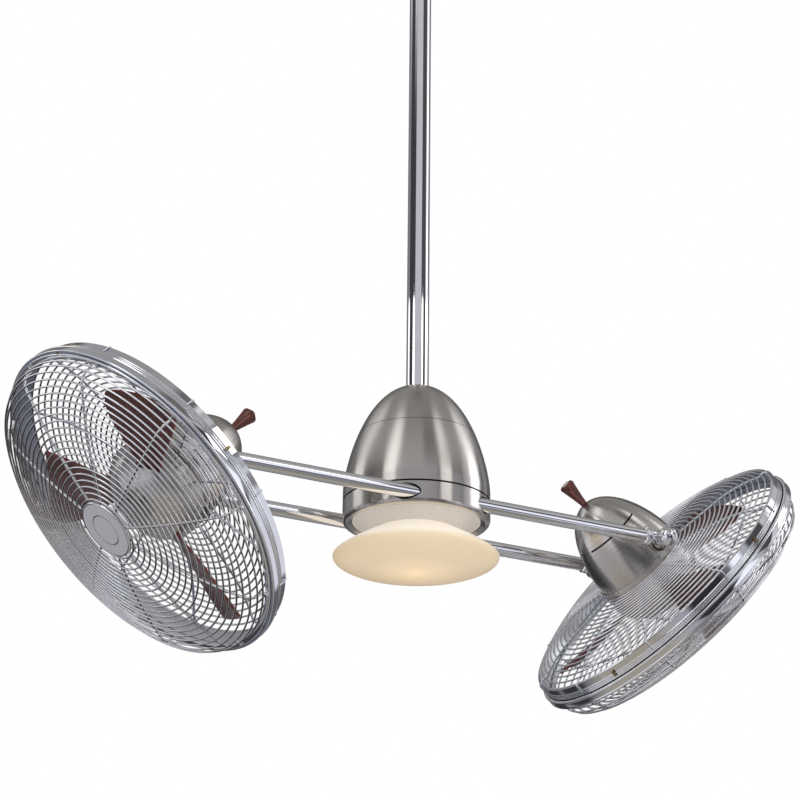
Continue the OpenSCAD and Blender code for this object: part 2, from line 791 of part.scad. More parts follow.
// Half width of a blade at a radius, and the sideways place of its middle.
blade_wide_r = blade_tip_r - 12;
blade_neck_r = 50;
function blade_half(r) = r < blade_neck_r ? blade_root_w :
  r < blade_wide_r
    ? blade_root_w + (blade_wide_w - blade_root_w)
      * sin(90 * (r - blade_neck_r) / (blade_wide_r - blade_neck_r))
    : blade_wide_w * sqrt(max(0, 1 - pow((r - blade_wide_r) / (blade_tip_r - blade_wide_r), 2)));
function blade_mid(r) = blade_sweep * max(0, r - blade_neck_r) / (blade_tip_r - blade_neck_r);
blade_radii = concat([blade_inner_r, 34],
  [for (i = [0:10]) blade_neck_r + (blade_wide_r - blade_neck_r) * i / 10],
  [for (i = [1:8]) blade_wide_r + (blade_tip_r - blade_wide_r) * sin(90 * i / 8)]);

module blade(k) {
  edge = [for (r = blade_radii) [r, blade_mid(r) + blade_half(r)]];
  back = [for (r = reversed(blade_radii)) [r, blade_mid(r) - blade_half(r)]];
  color(WOOD) rotate(120 * k) translate([0, 0, blade_t]) rotate([blade_pitch, 0, 0])
    translate([0, 0, -blade_thick / 2]) linear_extrude(blade_thick) polygon(concat(edge, back));
}

// ---- Cage ----
guard_r = band_r - rim_inset;
front_turn = guard_r - front_edge;
rear_turn = guard_r - rear_edge;
// A guard's profile is a wide arc about the axis that meets a tighter arc at radius turn and ends at
// its rim. depth is the distance from its middle to its rim along the axis.
function turn_angle(bulge, turn) = asin(turn / bulge);
function end_angle(depth, bulge, turn) = 2 * atan((depth - bulge * (1 - cos(turn_angle(bulge, turn))))
  / (guard_r - turn)) - turn_angle(bulge, turn);
function edge_bend(depth, bulge, turn) = (guard_r - turn)
  / (sin(end_angle(depth, bulge, turn)) - sin(turn_angle(bulge, turn)));
// Point at a distance s along the profile, as radius and height above the rim.
function guard_point(s, depth, bulge, turn) = let (a0 = turn_angle(bulge, turn), s0 = bulge * a0 * PI / 180)
  s < s0 ? [bulge * sin(s / bulge * 180 / PI), depth - bulge * (1 - cos(s / bulge * 180 / PI))]
    : let (bend = edge_bend(depth, bulge, turn), a = a0 + (s - s0) / bend * 180 / PI)
      [turn + bend * (sin(a) - sin(a0)), depth - bulge * (1 - cos(a0)) - bend * (cos(a0) - cos(a))];
function guard_span(depth, bulge, turn) = let (a0 = turn_angle(bulge, turn))
  (bulge * a0 + edge_bend(depth, bulge, turn) * (end_angle(depth, bulge, turn) - a0)) * PI / 180;

wire_lift = wire_r + rib_r + 0.05;

module wire_ring(r, z, thick) {
  translate([0, 0, z]) rotate_extrude() translate([r, 0]) circle(r = thick, $fn = 24);
}

// Part of a round wire bent about Y, from angle a0 to a1 off the Z axis, with its centre on the Z axis.
module bent_wire(bend, a0, a1, thick) {
  rotate([90, 0, 0]) rotate([0, 0, 90 - a1]) rotate_extrude(angle = a1 - a0, $fn = 180)
    translate([bend, 0]) circle(r = thick, $fn = 24);
}

// The rings and ribs of one guard, with its rim at height 0 and its middle at height depth. The ribs
// lie outside the rings where lift is positive and inside them where it is negative.
module guard_wires(depth, bulge, turn, first_r, lift) {
  a0 = turn_angle(bulge, turn);
  a1 = end_angle(depth, bulge, turn);
  bend = edge_bend(depth, bulge, turn);
  span = guard_span(depth, bulge, turn);
  count = floor((span - first_r) / wire_pitch);
  for (i = [0:count]) let (p = guard_point(first_r + i * (span - first_r) / count, depth, bulge, turn))
    wire_ring(p[0], p[1], wire_r);
  for (k = [0:rib_count - 1]) rotate(rib_phase + k * 360 / rib_count) {
    translate([0, 0, depth - bulge]) bent_wire(bulge + lift, asin((first_r - 2) / bulge), a0, rib_r);
    translate([turn - bend * sin(a0), 0, depth - bulge * (1 - cos(a0)) - bend * cos(a0)])
      bent_wire(bend + lift, a0 + 6 / bend, a1, rib_r);
  }
}

rib_phase = -73;
band_back = band_front - band_width;
band_in = band_r - 3.6;
bead_r = 1.5;
rear_first_r = housing_r + 3.8;
front_first_r = medallion_r + 3;
collar_in = housing_r + 0.1;
collar_out = rear_first_r + 1.5;
rear_mid_z = rear_apex + pow(rear_first_r, 2) / (2 * rear_bulge);
guard_screw_r = 1.5;
guard_screw_z = rear_mid_z - wire_r - 4.2;

module rear_guard() {
  color(CHROME) {
    translate([0, 0, rear_rim]) mirror([0, 0, 1])
      guard_wires(rear_rim - rear_apex, rear_bulge, rear_turn, rear_first_r, wire_lift);
    difference() {
      union() {
        ring(collar_out, collar_in, rear_mid_z + wire_r - 0.4, rear_mid_z + wire_r + 1);
        ring(collar_in + 1.2, collar_in, rear_mid_z - wire_r - 7, rear_mid_z + wire_r);
      }
      guard_screw_holes();
    }
    rotate_extrude() {
      polygon([[guard_r + 0.6, rear_rim - 0.6], [guard_r + 2, rear_rim - 1], [band_in - 1.4, band_back - 3],
        [band_in - 1, band_back - 1.2], [band_r - 2.4, band_back - 1.2], [band_r - 2.4, band_back],
        [band_in - SEAT, band_back], [band_in - SEAT, band_back + 4], [band_in - 1.6, band_back + 4],
        [band_in - 1.6, band_back], [guard_r + 1, rear_rim + 0.6]]);
      for (z = [band_back - 7.4, band_back - 3.8]) translate([band_in - 1.8, z])
        circle(r = bead_r, $fn = 24);
    }
  }
}

module at_guard_screws() {
  for (k = [0:2]) rotate(guard_screw_phase + 120 * k) translate([0, 0, guard_screw_z]) rotate([0, 90, 0])
    children();
}

guard_screw_phase = 42;
screw_seat = collar_in + 1.2;

module guard_screw_holes() {
  at_guard_screws() translate([0, 0, housing_r - 8]) cylinder(r = guard_screw_r, h = 20);
}

module guard_screws() {
  color(CHROME) at_guard_screws() {
    translate([0, 0, housing_r - 5]) cylinder(r = guard_screw_r, h = screw_seat - housing_r + 5);
    translate([0, 0, screw_seat]) cylinder(r = guard_screw_r * 1.8, h = 1.2);
  }
}

// A shallow channel that grips both guards' rims.
module band() {
  color(CHROME) rotate_extrude() polygon([
    [band_in, band_back], [band_r - 1, band_back], [band_r, band_back + 1.2],
    [band_r, band_front - 1.2], [band_r - 1, band_front], [band_in, band_front]]);
}

clip_phase = -19.5;
clip_t = 1.2;
clip_w = 7;
clip_in = band_r - 5;

module band_clips() {
  back = band_back - 1.2;
  front = band_front + 5.4;
  color(CHROME) for (k = [0:4]) rotate(clip_phase + 72 * k) {
    translate([band_r + 0.05, -clip_w / 2, back - clip_t])
      cube([clip_t, clip_w, front - back + 2 * clip_t]);
    translate([band_r - 3.2, -clip_w / 2, back - clip_t]) cube([3.2 + clip_t, clip_w, clip_t]);
    translate([clip_in, -clip_w / 2, front]) cube([band_r + clip_t - clip_in, clip_w, clip_t]);
  }
}

module front_guard() {
  color(CHROME) {
    translate([0, 0, front_rim])
      guard_wires(front_apex - front_rim, front_bulge, front_turn, front_first_r, -wire_lift);
    rotate_extrude() polygon([
      [guard_r + wire_r - 0.3, front_rim - 0.4], [guard_r + wire_r - 0.3, front_rim + 0.8],
      [guard_r + wire_r + 0.6, front_rim + 0.8], [band_r - 2, band_front + 1],
      [band_r - 2, band_front], [band_in - SEAT, band_front], [band_in - SEAT, band_front - 4],
      [band_in - 1.6, band_front - 4], [band_in - 1.6, band_front + 0.4]]);
  }
}

medallion_back = front_apex - wire_lift + rib_r - 1.1;

module medallion() {
  top = medallion_back + medallion_t;
  color(CHROME) rotate_extrude() polygon([
    [0, medallion_back], [medallion_r, medallion_back], [medallion_r, top - 1], [medallion_r - 1, top],
    [medallion_r - 2.6, top], [medallion_r - 3.4, top - 0.8], [22.4, top - 0.8], [22, top - 1.3],
    [21, top - 1.3], [20.6, top - 0.8], [0, top - 0.8]]);
}

// ---- The two heads ----

module left_housing() { left_head() housing(); }
module left_knob() { left_head() knob(); }
module left_stator() { left_head() stator(); }
module left_end_plates() { left_head() end_plates(); }
module left_bearings() { left_head() bearings(); }
module left_rear_guard() { left_head() rear_guard(); }
module left_guard_screws() { left_head() guard_screws(); }
module left_band() { left_head() band(); }
module left_band_clips() { left_head() band_clips(); }
module left_front_guard() { left_head() front_guard(); }
module left_medallion() { left_head() medallion(); }
module left_rotor() { left_head() rotate(left_turn) rotor(); }
module left_spinner() { left_head() rotate(left_turn) spinner(); }
module left_blade_1() { left_head() rotate(left_turn) blade(0); }
module left_blade_2() { left_head() rotate(left_turn) blade(1); }
module left_blade_3() { left_head() rotate(left_turn) blade(2); }
module right_housing() { right_head() housing(); }
module right_knob() { right_head() knob(); }
module right_stator() { right_head() stator(); }
module right_end_plates() { right_head() end_plates(); }
module right_bearings() { right_head() bearings(); }
module right_rear_guard() { right_head() rear_guard(); }
module right_guard_screws() { right_head() guard_screws(); }
module right_band() { right_head() band(); }
module right_band_clips() { right_head() band_clips(); }
module right_front_guard() { right_head() front_guard(); }
module right_medallion() { right_head() medallion(); }
module right_rotor() { right_head() rotate(right_turn) rotor(); }
module right_spinner() { right_head() rotate(right_turn) spinner(); }
module right_blade_1() { right_head() rotate(right_turn) blade(0); }
module right_blade_2() { right_head() rotate(right_turn) blade(1); }
module right_blade_3() { right_head() rotate(right_turn) blade(2); }

hanger_bracket();
canopy();
canopy_screws();
hanger_ball();
rod_pins();
downrod();
yoke();
top_cap();
hub_shell();
main_shaft();
shaft_nuts();
brush_block();
light_pan();
lamp_holder();
lamp();
glass_shade();
swivel_ring();
carrier();
carrier_bearings();
slip_ring();
rod_clamps();
rod_screws();
front_rod();
rear_rod();
knuckles();
pivot_bolts();
cap_nuts();
pivot_washers();
left_housing();
left_knob();
left_stator();
left_end_plates();
left_bearings();
left_rear_guard();
left_guard_screws();
left_band();
left_band_clips();
left_front_guard();
left_medallion();
left_rotor();
left_spinner();
left_blade_1();
left_blade_2();
left_blade_3();
right_housing();
right_knob();
right_stator();
right_end_plates();
right_bearings();
right_rear_guard();
right_guard_screws();
right_band();
right_band_clips();
right_front_guard();
right_medallion();
right_rotor();
right_spinner();
right_blade_1();
right_blade_2();
right_blade_3();
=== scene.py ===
import bmesh
import bpy
import json
import math
from mathutils import Matrix, Vector


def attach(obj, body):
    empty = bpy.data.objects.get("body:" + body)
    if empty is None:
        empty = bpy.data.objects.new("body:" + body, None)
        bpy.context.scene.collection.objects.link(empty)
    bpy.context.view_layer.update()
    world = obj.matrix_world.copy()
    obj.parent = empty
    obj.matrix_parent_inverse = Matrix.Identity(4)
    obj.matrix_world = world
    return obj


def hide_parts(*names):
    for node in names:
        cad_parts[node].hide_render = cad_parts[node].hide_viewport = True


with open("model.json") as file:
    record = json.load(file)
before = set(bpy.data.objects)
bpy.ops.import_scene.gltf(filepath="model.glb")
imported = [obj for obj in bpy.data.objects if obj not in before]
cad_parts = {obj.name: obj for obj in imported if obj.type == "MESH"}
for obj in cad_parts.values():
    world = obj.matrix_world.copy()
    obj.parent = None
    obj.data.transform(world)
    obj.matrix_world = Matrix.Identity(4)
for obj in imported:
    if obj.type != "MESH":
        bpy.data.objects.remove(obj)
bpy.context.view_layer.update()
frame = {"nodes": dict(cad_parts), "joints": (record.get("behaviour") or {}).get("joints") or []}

MM = 0.001
nodes = frame["nodes"]

# ---- Numbers that repeat part.scad's, in millimetres and degrees ----
ROD_OFFSET = 67.0
ROD_R = 8.2
KNUCKLE_R = 11.0
KNUCKLE_IN = 60.5
KNUCKLE_OUT = ROD_OFFSET + ROD_R + 1.4
COLLAR_REACH = 27.0
SHADE_R = 96.0
# Depth of the shade's rim below the rods' axes
SHADE_DROP = 52.0
HOUSING_R = 58.2
SLEEVE_R = HOUSING_R + 0.1
BAND_R = 195.0
BAND_IN = BAND_R - 3.6
BAND_FRONT = 68.0
BAND_BACK = BAND_FRONT - 10.5
CLIPS = 5
CLIP_PHASE = -19.5
WIRE_R = 1.1
RIB_R = 1.5
# Distance between the middles of a wire and of a rib that lies against it
LIFT = WIRE_R + RIB_R + 0.05
WIRE_PITCH = 7.4
RIBS = 10
RIB_PHASE = -73.0
GUARD_R = BAND_R - 9.0
MEDALLION_R = 35.0
# Each guard bulges ahead of its rim (1) or behind it (-1). apex and rim are distances in front of the pivot,
# bulge is the radius of the wide curve, turn is the distance from the axis at which it turns to the rim, and
# first is that of its first wire.
FRONT = dict(ahead=1, apex=116.5, rim=76.0, bulge=656.0, turn=GUARD_R - 13.3, first=MEDALLION_R + 3)
REAR = dict(ahead=-1, apex=18.8, rim=42.0, bulge=1500.0, turn=GUARD_R - 66, first=HOUSING_R + 3.8)
MEDALLION_BACK = FRONT["apex"] - LIFT + RIB_R - 1.1
MEDALLION_T = 4.0
KNOB_ROOT = -83.7
KNOB_LENGTH = 34.0
BLADES = 3
BLADE_TURN = {"left": 60.4, "right": 50.0}
BLADE_T = 55.0
BLADE_TIP = 165.0
BLADE_NECK = 50.0
BLADE_SWEEP = 9.0

# ---- Numbers of the forms that are drawn here, set by comparison with the photograph ----
# The front guard's flat rim, in front of the pivot
RIM_FACE = 70.6
CLIP_W = 3.4
GROOVE_R = 18.5
GROOVE_HALF = 0.6
GROOVE_DEPTH = 0.7
# Half diagonal of the knob's square section, at its root and at its tip
KNOB_R = (4.0, 9.4)
# The two knobs are screwed in by different amounts
KNOB_TURN = {"left": 0, "right": 45}
KNOB_STEPS = 20
# The knob's section is four rounded corners, each drawn through these angles
CORNER = (-45, -22, 0, 22, 45)
CAP_R = 12.0
CAP_LENGTH = 14.0
CAP_SKIRT = 2.4
BLADE_INNER = 20.0
BLADE_WIDE = 155.0
# Half widths at the root and where the blade is widest
BLADE_HALF = (13.6, 41.0)
# Pitch at the root and at the tip
BLADE_PITCH = (18.5, 19.0)
BLADE_THICK = 2.8
# Radius from which a blade is cambered and swept, the camber's rise at 40 mm from the middle line, and how
# far ahead the tip lies
BLADE_BEND = BLADE_NECK + 8
BLADE_CAMBER = 5.0
BLADE_REACH = 3.0

# ---- Places from the frame, in metres unless a comment says otherwise ----
joints = {joint["name"]: joint for joint in frame["joints"]}
UP = Vector((0, 0, 1))
HUB = Vector(joints["gyro_spin"]["pos_m"])
# The heads' own frames: the origin lies between the two pivots, Y runs from one to the other, and Z points
# out through the front guard
HEAD = {}
for side in ("left", "right"):
    out = Vector(joints[side + "_fan_spin"]["axis"]).normalized()
    along = Vector((0, 1, 0))
    axes = Matrix((along.cross(out), along, out)).transposed()
    HEAD[side] = Matrix.Translation(joints[side + "_tilt"]["pos_m"]) @ axes.to_4x4()
# How far the pivots are to each side of the hub, in millimetres
PIVOT_X = joints["right_tilt"]["pos_m"][0] / MM

# ---- Camera, fitted to the photograph ----
VIEW_BEARING = 29.02
VIEW_ELEVATION = 20.82
VIEW_ROLL = 0.62
FOCAL_PX = 2444.3
PHOTO_PX = 800
SENSOR = 36.0
# Where the camera stands, in millimetres from the hub: to its right, along its level bearing and up
CAMERA_AT = (-20.3, -2683.5, -879.9)


def make_camera():
    bearing, elevation, roll = (math.radians(a) for a in (VIEW_BEARING, VIEW_ELEVATION, VIEW_ROLL))
    right = Vector((math.cos(bearing), -math.sin(bearing), 0))
    ahead = Vector((math.sin(bearing), math.cos(bearing), 0))
    look = ahead * math.cos(elevation) + UP * math.sin(elevation)
    up = UP * math.cos(elevation) - ahead * math.sin(elevation)
    rolled_right = right * math.cos(roll) + up * math.sin(roll)
    rolled_up = up * math.cos(roll) - right * math.sin(roll)
    cam = bpy.data.cameras.new("camera")
    cam.sensor_width = SENSOR
    cam.sensor_fit = "HORIZONTAL"
    cam.lens = FOCAL_PX / PHOTO_PX * SENSOR
    cam.clip_end = 50
    ob = bpy.data.objects.new("camera", cam)
    bpy.context.scene.collection.objects.link(ob)
    sideways, along, height = CAMERA_AT
    place = Matrix((rolled_right, rolled_up, -look)).transposed().to_4x4()
    place.translation = HUB + (right * sideways + ahead * along + UP * height) * MM
    ob.matrix_world = place
    bpy.context.scene.camera = ob


make_camera()


# ---- Node trees ----
# Where a Mix node has its two inputs and its output, for each kind of data
MIX_SOCKETS = {"FLOAT": (2, 3, 0), "RGBA": (6, 7, 2)}


class Graph:
    """A node tree, with short calls for adding nodes. A value given to a call is either a plain number,
    vector or colour, or the output of another node."""

    def __init__(self, tree, output):
        self.tree = tree
        tree.nodes.clear()
        self.out = self.add(output)

    def add(self, kind, **props):
        node = self.tree.nodes.new(kind)
        for key, value in props.items():
            setattr(node, key, value)
        return node

    def connect(self, value, target):
        if hasattr(value, "links"):
            self.tree.links.new(value, target)
        else:
            target.default_value = value

    def fill(self, node, *values):
        """Give the node's first inputs their values, and return its first output."""
        for value, target in zip(values, node.inputs):
            self.connect(value, target)
        return node.outputs[0]

    def math(self, op, *values):
        return self.fill(self.add("ShaderNodeMath", operation=op), *values)

    def vec(self, op, *values):
        node = self.add("ShaderNodeVectorMath", operation=op)
        self.fill(node, *values)
        return node.outputs["Value" if op in ("DOT_PRODUCT", "LENGTH") else "Vector"]

    def join(self, x, y, z):
        return self.fill(self.add("ShaderNodeCombineXYZ"), x, y, z)

    def split(self, vector):
        node = self.add("ShaderNodeSeparateXYZ")
        self.fill(node, vector)
        return node.outputs

    def noise(self, vector, scale, detail=3.0, rough=0.5):
        node = self.add("ShaderNodeTexNoise")
        for key, value in (("Vector", vector), ("Scale", scale), ("Detail", detail), ("Roughness", rough)):
            self.connect(value, node.inputs[key])
        return node.outputs["Fac"]

    def spread(self, value, low, high):
        """Stretch values between 0 and 1 to lie between low and high."""
        return self.fill(self.add("ShaderNodeMapRange"), value, 0.0, 1.0, low, high)

    def step(self, value, start, end):
        """0 before start and 1 after end, with a smooth step between them."""
        return self.fill(self.add("ShaderNodeMapRange", interpolation_type="SMOOTHSTEP"), value, start, end)

    def ramp(self, value, *stops):
        """A colour that runs through the stops, each of them a place and a colour."""
        node = self.add("ShaderNodeValToRGB")
        elements = node.color_ramp.elements
        while len(elements) < len(stops):
            elements.new(0.5)
        for element, (place, colour) in zip(elements, stops):
            element.position = place
            element.color = (*colour, 1)
        return self.fill(node, value)

    def mottle(self, value, colour, start, dark, end, light=1.0):
        """A colour that runs from a darker to a lighter shade between two places of a noise."""
        shades = [tuple(min(1.0, c * k) for c in colour) for k in (dark, light)]
        return self.ramp(value, (start, shades[0]), (end, shades[1]))

    def mix(self, kind, factor, a, b):
        node = self.add("ShaderNodeMix", data_type=kind)
        first, second, out = MIX_SOCKETS[kind]
        for value, i in ((factor, 0), (a, first), (b, second)):
            self.connect(value, node.inputs[i])
        return node.outputs[out]

    def mix_shaders(self, factor, a, b):
        return self.fill(self.add("ShaderNodeMixShader"), factor, a, b)


class Material(Graph):
    """A material of one Principled shader."""

    def __init__(self, name):
        self.mat = bpy.data.materials.new(name)
        self.mat.use_nodes = True
        super().__init__(self.mat.node_tree, "ShaderNodeOutputMaterial")
        self.coord = self.add("ShaderNodeTexCoord").outputs["Object"]
        self.bsdf = self.add("ShaderNodeBsdfPrincipled")
        self.connect(self.bsdf.outputs[0], self.out.inputs[0])

    def put(self, **values):
        """Give the shader's inputs their values. An underscore stands for a space in an input's name."""
        for key, value in values.items():
            self.connect(value, self.bsdf.inputs[key.replace("_", " ")])

    def bump(self, height, strength, distance):
        node = self.add("ShaderNodeBump")
        for key, value in (("Height", height), ("Strength", strength), ("Distance", distance)):
            self.connect(value, node.inputs[key])
        self.put(Normal=node.outputs[0])


# ---- Materials ----
def srgb(*levels):
    """A colour given as screen levels of 0 to 255, on the linear scale that shaders take."""
    def linear(c):
        c /= 255
        return c / 12.92 if c <= 0.04045 else ((c + 0.055) / 1.055) ** 2.4
    return tuple(linear(c) for c in levels)


def turned_metal(name, centre, axis, colour, rough=0.24):
    """Metal brushed round an axis: fine turning marks, and highlights drawn out across them."""
    t = Material(name)
    rel = t.vec("SUBTRACT", t.coord, tuple(centre))
    along = t.vec("DOT_PRODUCT", rel, tuple(axis))
    tangent = t.vec("NORMALIZE", t.vec("CROSS_PRODUCT", tuple(axis), rel))
    to_world = t.add("ShaderNodeVectorTransform", vector_type="VECTOR", convert_from="OBJECT",
                     convert_to="WORLD")
    # The marks are fine along the axis and long round it
    long_round = t.vec("ADD", t.vec("MULTIPLY", rel, (0.02, 0.02, 0.02)), t.join(along, 0.0, 0.0))
    marks = t.noise(long_round, scale=1400.0, rough=0.6)
    broad = t.noise(rel, scale=9.0, detail=2.0)
    t.put(Base_Color=t.mottle(broad, colour, start=0.3, dark=0.95, end=0.7, light=1.04),
          Roughness=t.spread(marks, rough - 0.05, rough + 0.05), Metallic=1.0)
    # A quarter turn sets the highlights across the marks
    t.put(Tangent=t.fill(to_world, tangent), Anisotropic=0.88, Anisotropic_Rotation=0.25)
    t.bump(marks, strength=0.05, distance=0.0001)
    return t.mat


def plain_metal(name, colour, rough, spread, scale, bump=0.0):
    t = Material(name)
    n = t.noise(t.coord, scale, detail=4.0, rough=0.55)
    t.put(Base_Color=t.mottle(n, colour, start=0.3, dark=0.94, end=0.75),
          Roughness=t.spread(n, rough, rough + spread), Metallic=1.0)
    if bump:
        t.bump(n, strength=bump, distance=0.0002)
    return t.mat


def plated_with_painted_shade(name, under, over, metallic, low, high, rough):
    """Plating with painted shade and light: its colour turns from under, painted shade on faces that look
    down at rest, to over, painted light on faces that look up. It does so where the upward part of the face's
    direction lies between low and high."""
    t = Material(name)
    facing = t.add("ShaderNodeTexCoord").outputs["Normal"]
    upward = t.vec("DOT_PRODUCT", facing, tuple(UP))
    n = t.noise(t.coord, scale=300.0, detail=4.0, rough=0.55)
    t.put(Base_Color=t.ramp(t.step(upward, low, high), (0.0, under), (1.0, over)),
          Roughness=t.spread(n, rough, rough + 0.06), Metallic=metallic)
    return t.mat


def plastic(name, colour, rough=0.45, scale=700.0):
    t = Material(name)
    n = t.noise(t.coord, scale, detail=4.0, rough=0.6)
    t.put(Base_Color=t.mottle(n, colour, start=0.35, dark=0.85, end=0.7),
          Roughness=t.spread(n, rough - 0.06, rough + 0.08))
    t.bump(n, strength=0.15, distance=0.0002)
    return t.mat


def wood(name, matrix, scale, tones, gloss):
    """Stained wood with its grain along the X axis of the given frame. scale says how fast the grain
    changes along the frame's three axes, and tones are its dark, middle and pale colours."""
    t = Material(name)
    rel = t.vec("SUBTRACT", t.coord, tuple(matrix.translation))
    axes = [tuple(axis.normalized()) for axis in matrix.to_3x3().transposed()]
    grain = t.join(*[t.math("MULTIPLY", t.vec("DOT_PRODUCT", rel, axis), k) for axis, k in zip(axes, scale)])
    waver = t.math("MULTIPLY", t.noise(grain, scale=0.6, detail=2.0), 1.6)
    grain = t.vec("ADD", grain, t.join(0.0, waver, 0.0))
    bands = t.noise(grain, scale=2.4, detail=6.0, rough=0.62)
    pores = t.noise(grain, scale=26.0, rough=0.7)
    both = t.math("ADD", t.math("MULTIPLY", bands, 0.75), t.math("MULTIPLY", pores, 0.25))
    t.put(Base_Color=t.ramp(both, *zip((0.34, 0.5, 0.66), tones)),
          Roughness=t.spread(pores, gloss, gloss + 0.14), Coat_Weight=0.3, Coat_Roughness=0.15)
    t.bump(both, strength=0.12, distance=0.0003)
    return t.mat


def opal(name, colour, radius, above, below, middle):
    """Satin opal glass of a radius in metres, lit from inside. above, below and middle are its glow over
    the shade's rim, under it, and right under the lamp."""
    t = Material(name)
    x, y, height = t.split(t.vec("SUBTRACT", t.coord, (0.0, 0.0, HUB.z - SHADE_DROP * MM)))
    outward = t.math("DIVIDE", t.vec("LENGTH", t.join(x, y, 0.0)), radius)
    between = tuple((a + b) / 2 for a, b in zip(middle, below))
    under = t.ramp(outward, (0.0, middle), (0.22, between), (0.6, below))
    n = t.noise(t.coord, scale=45.0)
    t.put(Base_Color=t.mottle(n, colour, start=0.3, dark=0.985, end=0.7), Roughness=0.32,
          Emission_Color=t.mix("RGBA", t.step(height, -0.02 * radius, 0.08 * radius), under, (*above, 1)),
          Emission_Strength=1.0, Coat_Weight=0.3, Coat_Roughness=0.15)
    t.bump(n, strength=0.03, distance=0.0005)
    return t.mat


FACE_TONES = (srgb(58, 29, 26), srgb(84, 43, 39), srgb(108, 58, 50))
EDGE_TONES = (srgb(96, 32, 20), srgb(122, 42, 26), srgb(144, 56, 34))
KNOB_TONES = (srgb(66, 26, 22), srgb(92, 37, 31), srgb(114, 48, 40))
# Paler wood tones painted on the knob's corners as a highlight
RIDGE_HIGHLIGHT_TONES = (srgb(150, 82, 66), srgb(168, 98, 80), srgb(184, 112, 94))
BLADE_GRAIN = (6.0, 60.0, 60.0)
KNOB_GRAIN = (30.0, 160.0, 160.0)
BLADE_GLOSS = 0.34
KNOB_GLOSS = 0.2
NICKEL = (0.615, 0.58, 0.54)
CHROME = (0.90, 0.905, 0.92)
# Radius over which the lamp's own glow fades
LAMP_GLOW = 0.02

hub_nickel = turned_metal("hub_nickel", HUB, UP, NICKEL)
head_nickel = {}
for side, place in HEAD.items():
    head_nickel[side] = turned_metal("nickel_" + side, place.translation, place.to_3x3().col[2], NICKEL,
                                     rough=0.2)
chrome = plain_metal("chrome", CHROME, rough=0.03, spread=0.03, scale=40.0)
# Painted shade under the wires and on the guards' and band's inner walls, and painted light on their tops
wire_chrome_painted_shade = plated_with_painted_shade("wire_chrome_painted_shade", under=(0.085, 0.08, 0.08), over=(0.98, 0.985, 1.0), metallic=0.75,
                     low=-0.85, high=-0.48, rough=0.05)
wall_satin_painted_shade = plated_with_painted_shade("wall_satin_painted_shade", under=(0.30, 0.32, 0.40), over=(0.93, 0.96, 1.0), metallic=0.35,
                    low=-0.60, high=0.10, rough=0.16)
bronze = plain_metal("clip_bronze", (0.34, 0.25, 0.15), rough=0.18, spread=0.10, scale=300.0)
steel = plain_metal("plain_steel", (0.42, 0.42, 0.42), rough=0.28, spread=0.14, scale=220.0, bump=0.15)
copper = plain_metal("copper_winding", (0.62, 0.30, 0.15), rough=0.3, spread=0.15, scale=900.0, bump=0.5)
brass = plain_metal("slip_brass", (0.70, 0.50, 0.20), rough=0.2, spread=0.1, scale=120.0)
# Black plastic, also used as painted black shade in the guards' gaps and in the medallion's groove
black = plastic("black_plastic", (0.018, 0.018, 0.02))
pan_satin = plastic("pan_satin", srgb(239, 236, 234), rough=0.42, scale=400.0)
pale_plug = plastic("pale_plug", srgb(214, 208, 204), rough=0.3, scale=500.0)
badge_silver = plastic("badge_silver", srgb(206, 206, 212), rough=0.3, scale=900.0)
white = plastic("white_plastic", (0.78, 0.76, 0.70), rough=0.35, scale=300.0)
shade_mat = opal("opal_glass", srgb(243, 228, 203), SHADE_R * MM, above=(0.42, 0.40, 0.37),
                 below=(0.28, 0.19, 0.085), middle=(0.60, 0.40, 0.19))
lamp_mat = opal("lamp_glass", srgb(250, 240, 220), LAMP_GLOW, above=(0.9, 0.8, 0.6), below=(0.9, 0.8, 0.6),
                middle=(1.0, 0.85, 0.6))

# The CAD pieces that stay in view, without the head's side in their names
LOOK = {
    "hanger_bracket": steel, "canopy": hub_nickel, "canopy_screws": chrome, "hanger_ball": black,
    "rod_pins": steel, "downrod": chrome, "yoke": steel, "top_cap": hub_nickel, "hub_shell": hub_nickel,
    "main_shaft": steel, "shaft_nuts": steel, "brush_block": black, "light_pan": pan_satin,
    "lamp_holder": white, "lamp": lamp_mat, "glass_shade": shade_mat, "swivel_ring": hub_nickel,
    "carrier": steel, "carrier_bearings": chrome, "slip_ring": brass, "rod_clamps": steel,
    "rod_screws": steel, "front_rod": chrome, "rear_rod": chrome, "pivot_bolts": steel,
    "pivot_washers": black, "stator": copper, "end_plates": steel, "bearings": chrome,
    "guard_screws": chrome, "rotor": steel,
}


def dress(node, mat):
    ob = nodes[node]
    if not ob.material_slots:
        ob.data.materials.append(mat)
    for slot in ob.material_slots:
        slot.material = mat


for name in nodes:
    side, _, rest = name.partition("_")
    base = rest if side in HEAD else name
    if base in ("housing", "spinner"):
        dress(name, head_nickel[side])
    elif base in LOOK:
        dress(name, LOOK[base])


# ---- Mesh code ----
def circle(count):
    """Cosines and sines of evenly spaced angles round a circle."""
    angles = [2 * math.pi * i / count for i in range(count)]
    return [(math.cos(a), math.sin(a)) for a in angles]


def arc(cx, cz, r, a0, a1, n):
    """Points of an arc round a centre in a profile, from one angle to another in degrees."""
    angles = [math.radians(a0 + (a1 - a0) * i / n) for i in range(n + 1)]
    return [(cx + r * math.cos(a), cz + r * math.sin(a)) for a in angles]


def spin(profile, degrees):
    """A profile of radii and heights, stood up at an angle round the Z axis."""
    c, s = math.cos(math.radians(degrees)), math.sin(math.radians(degrees))
    return [(r * c, r * s, z) for r, z in profile]


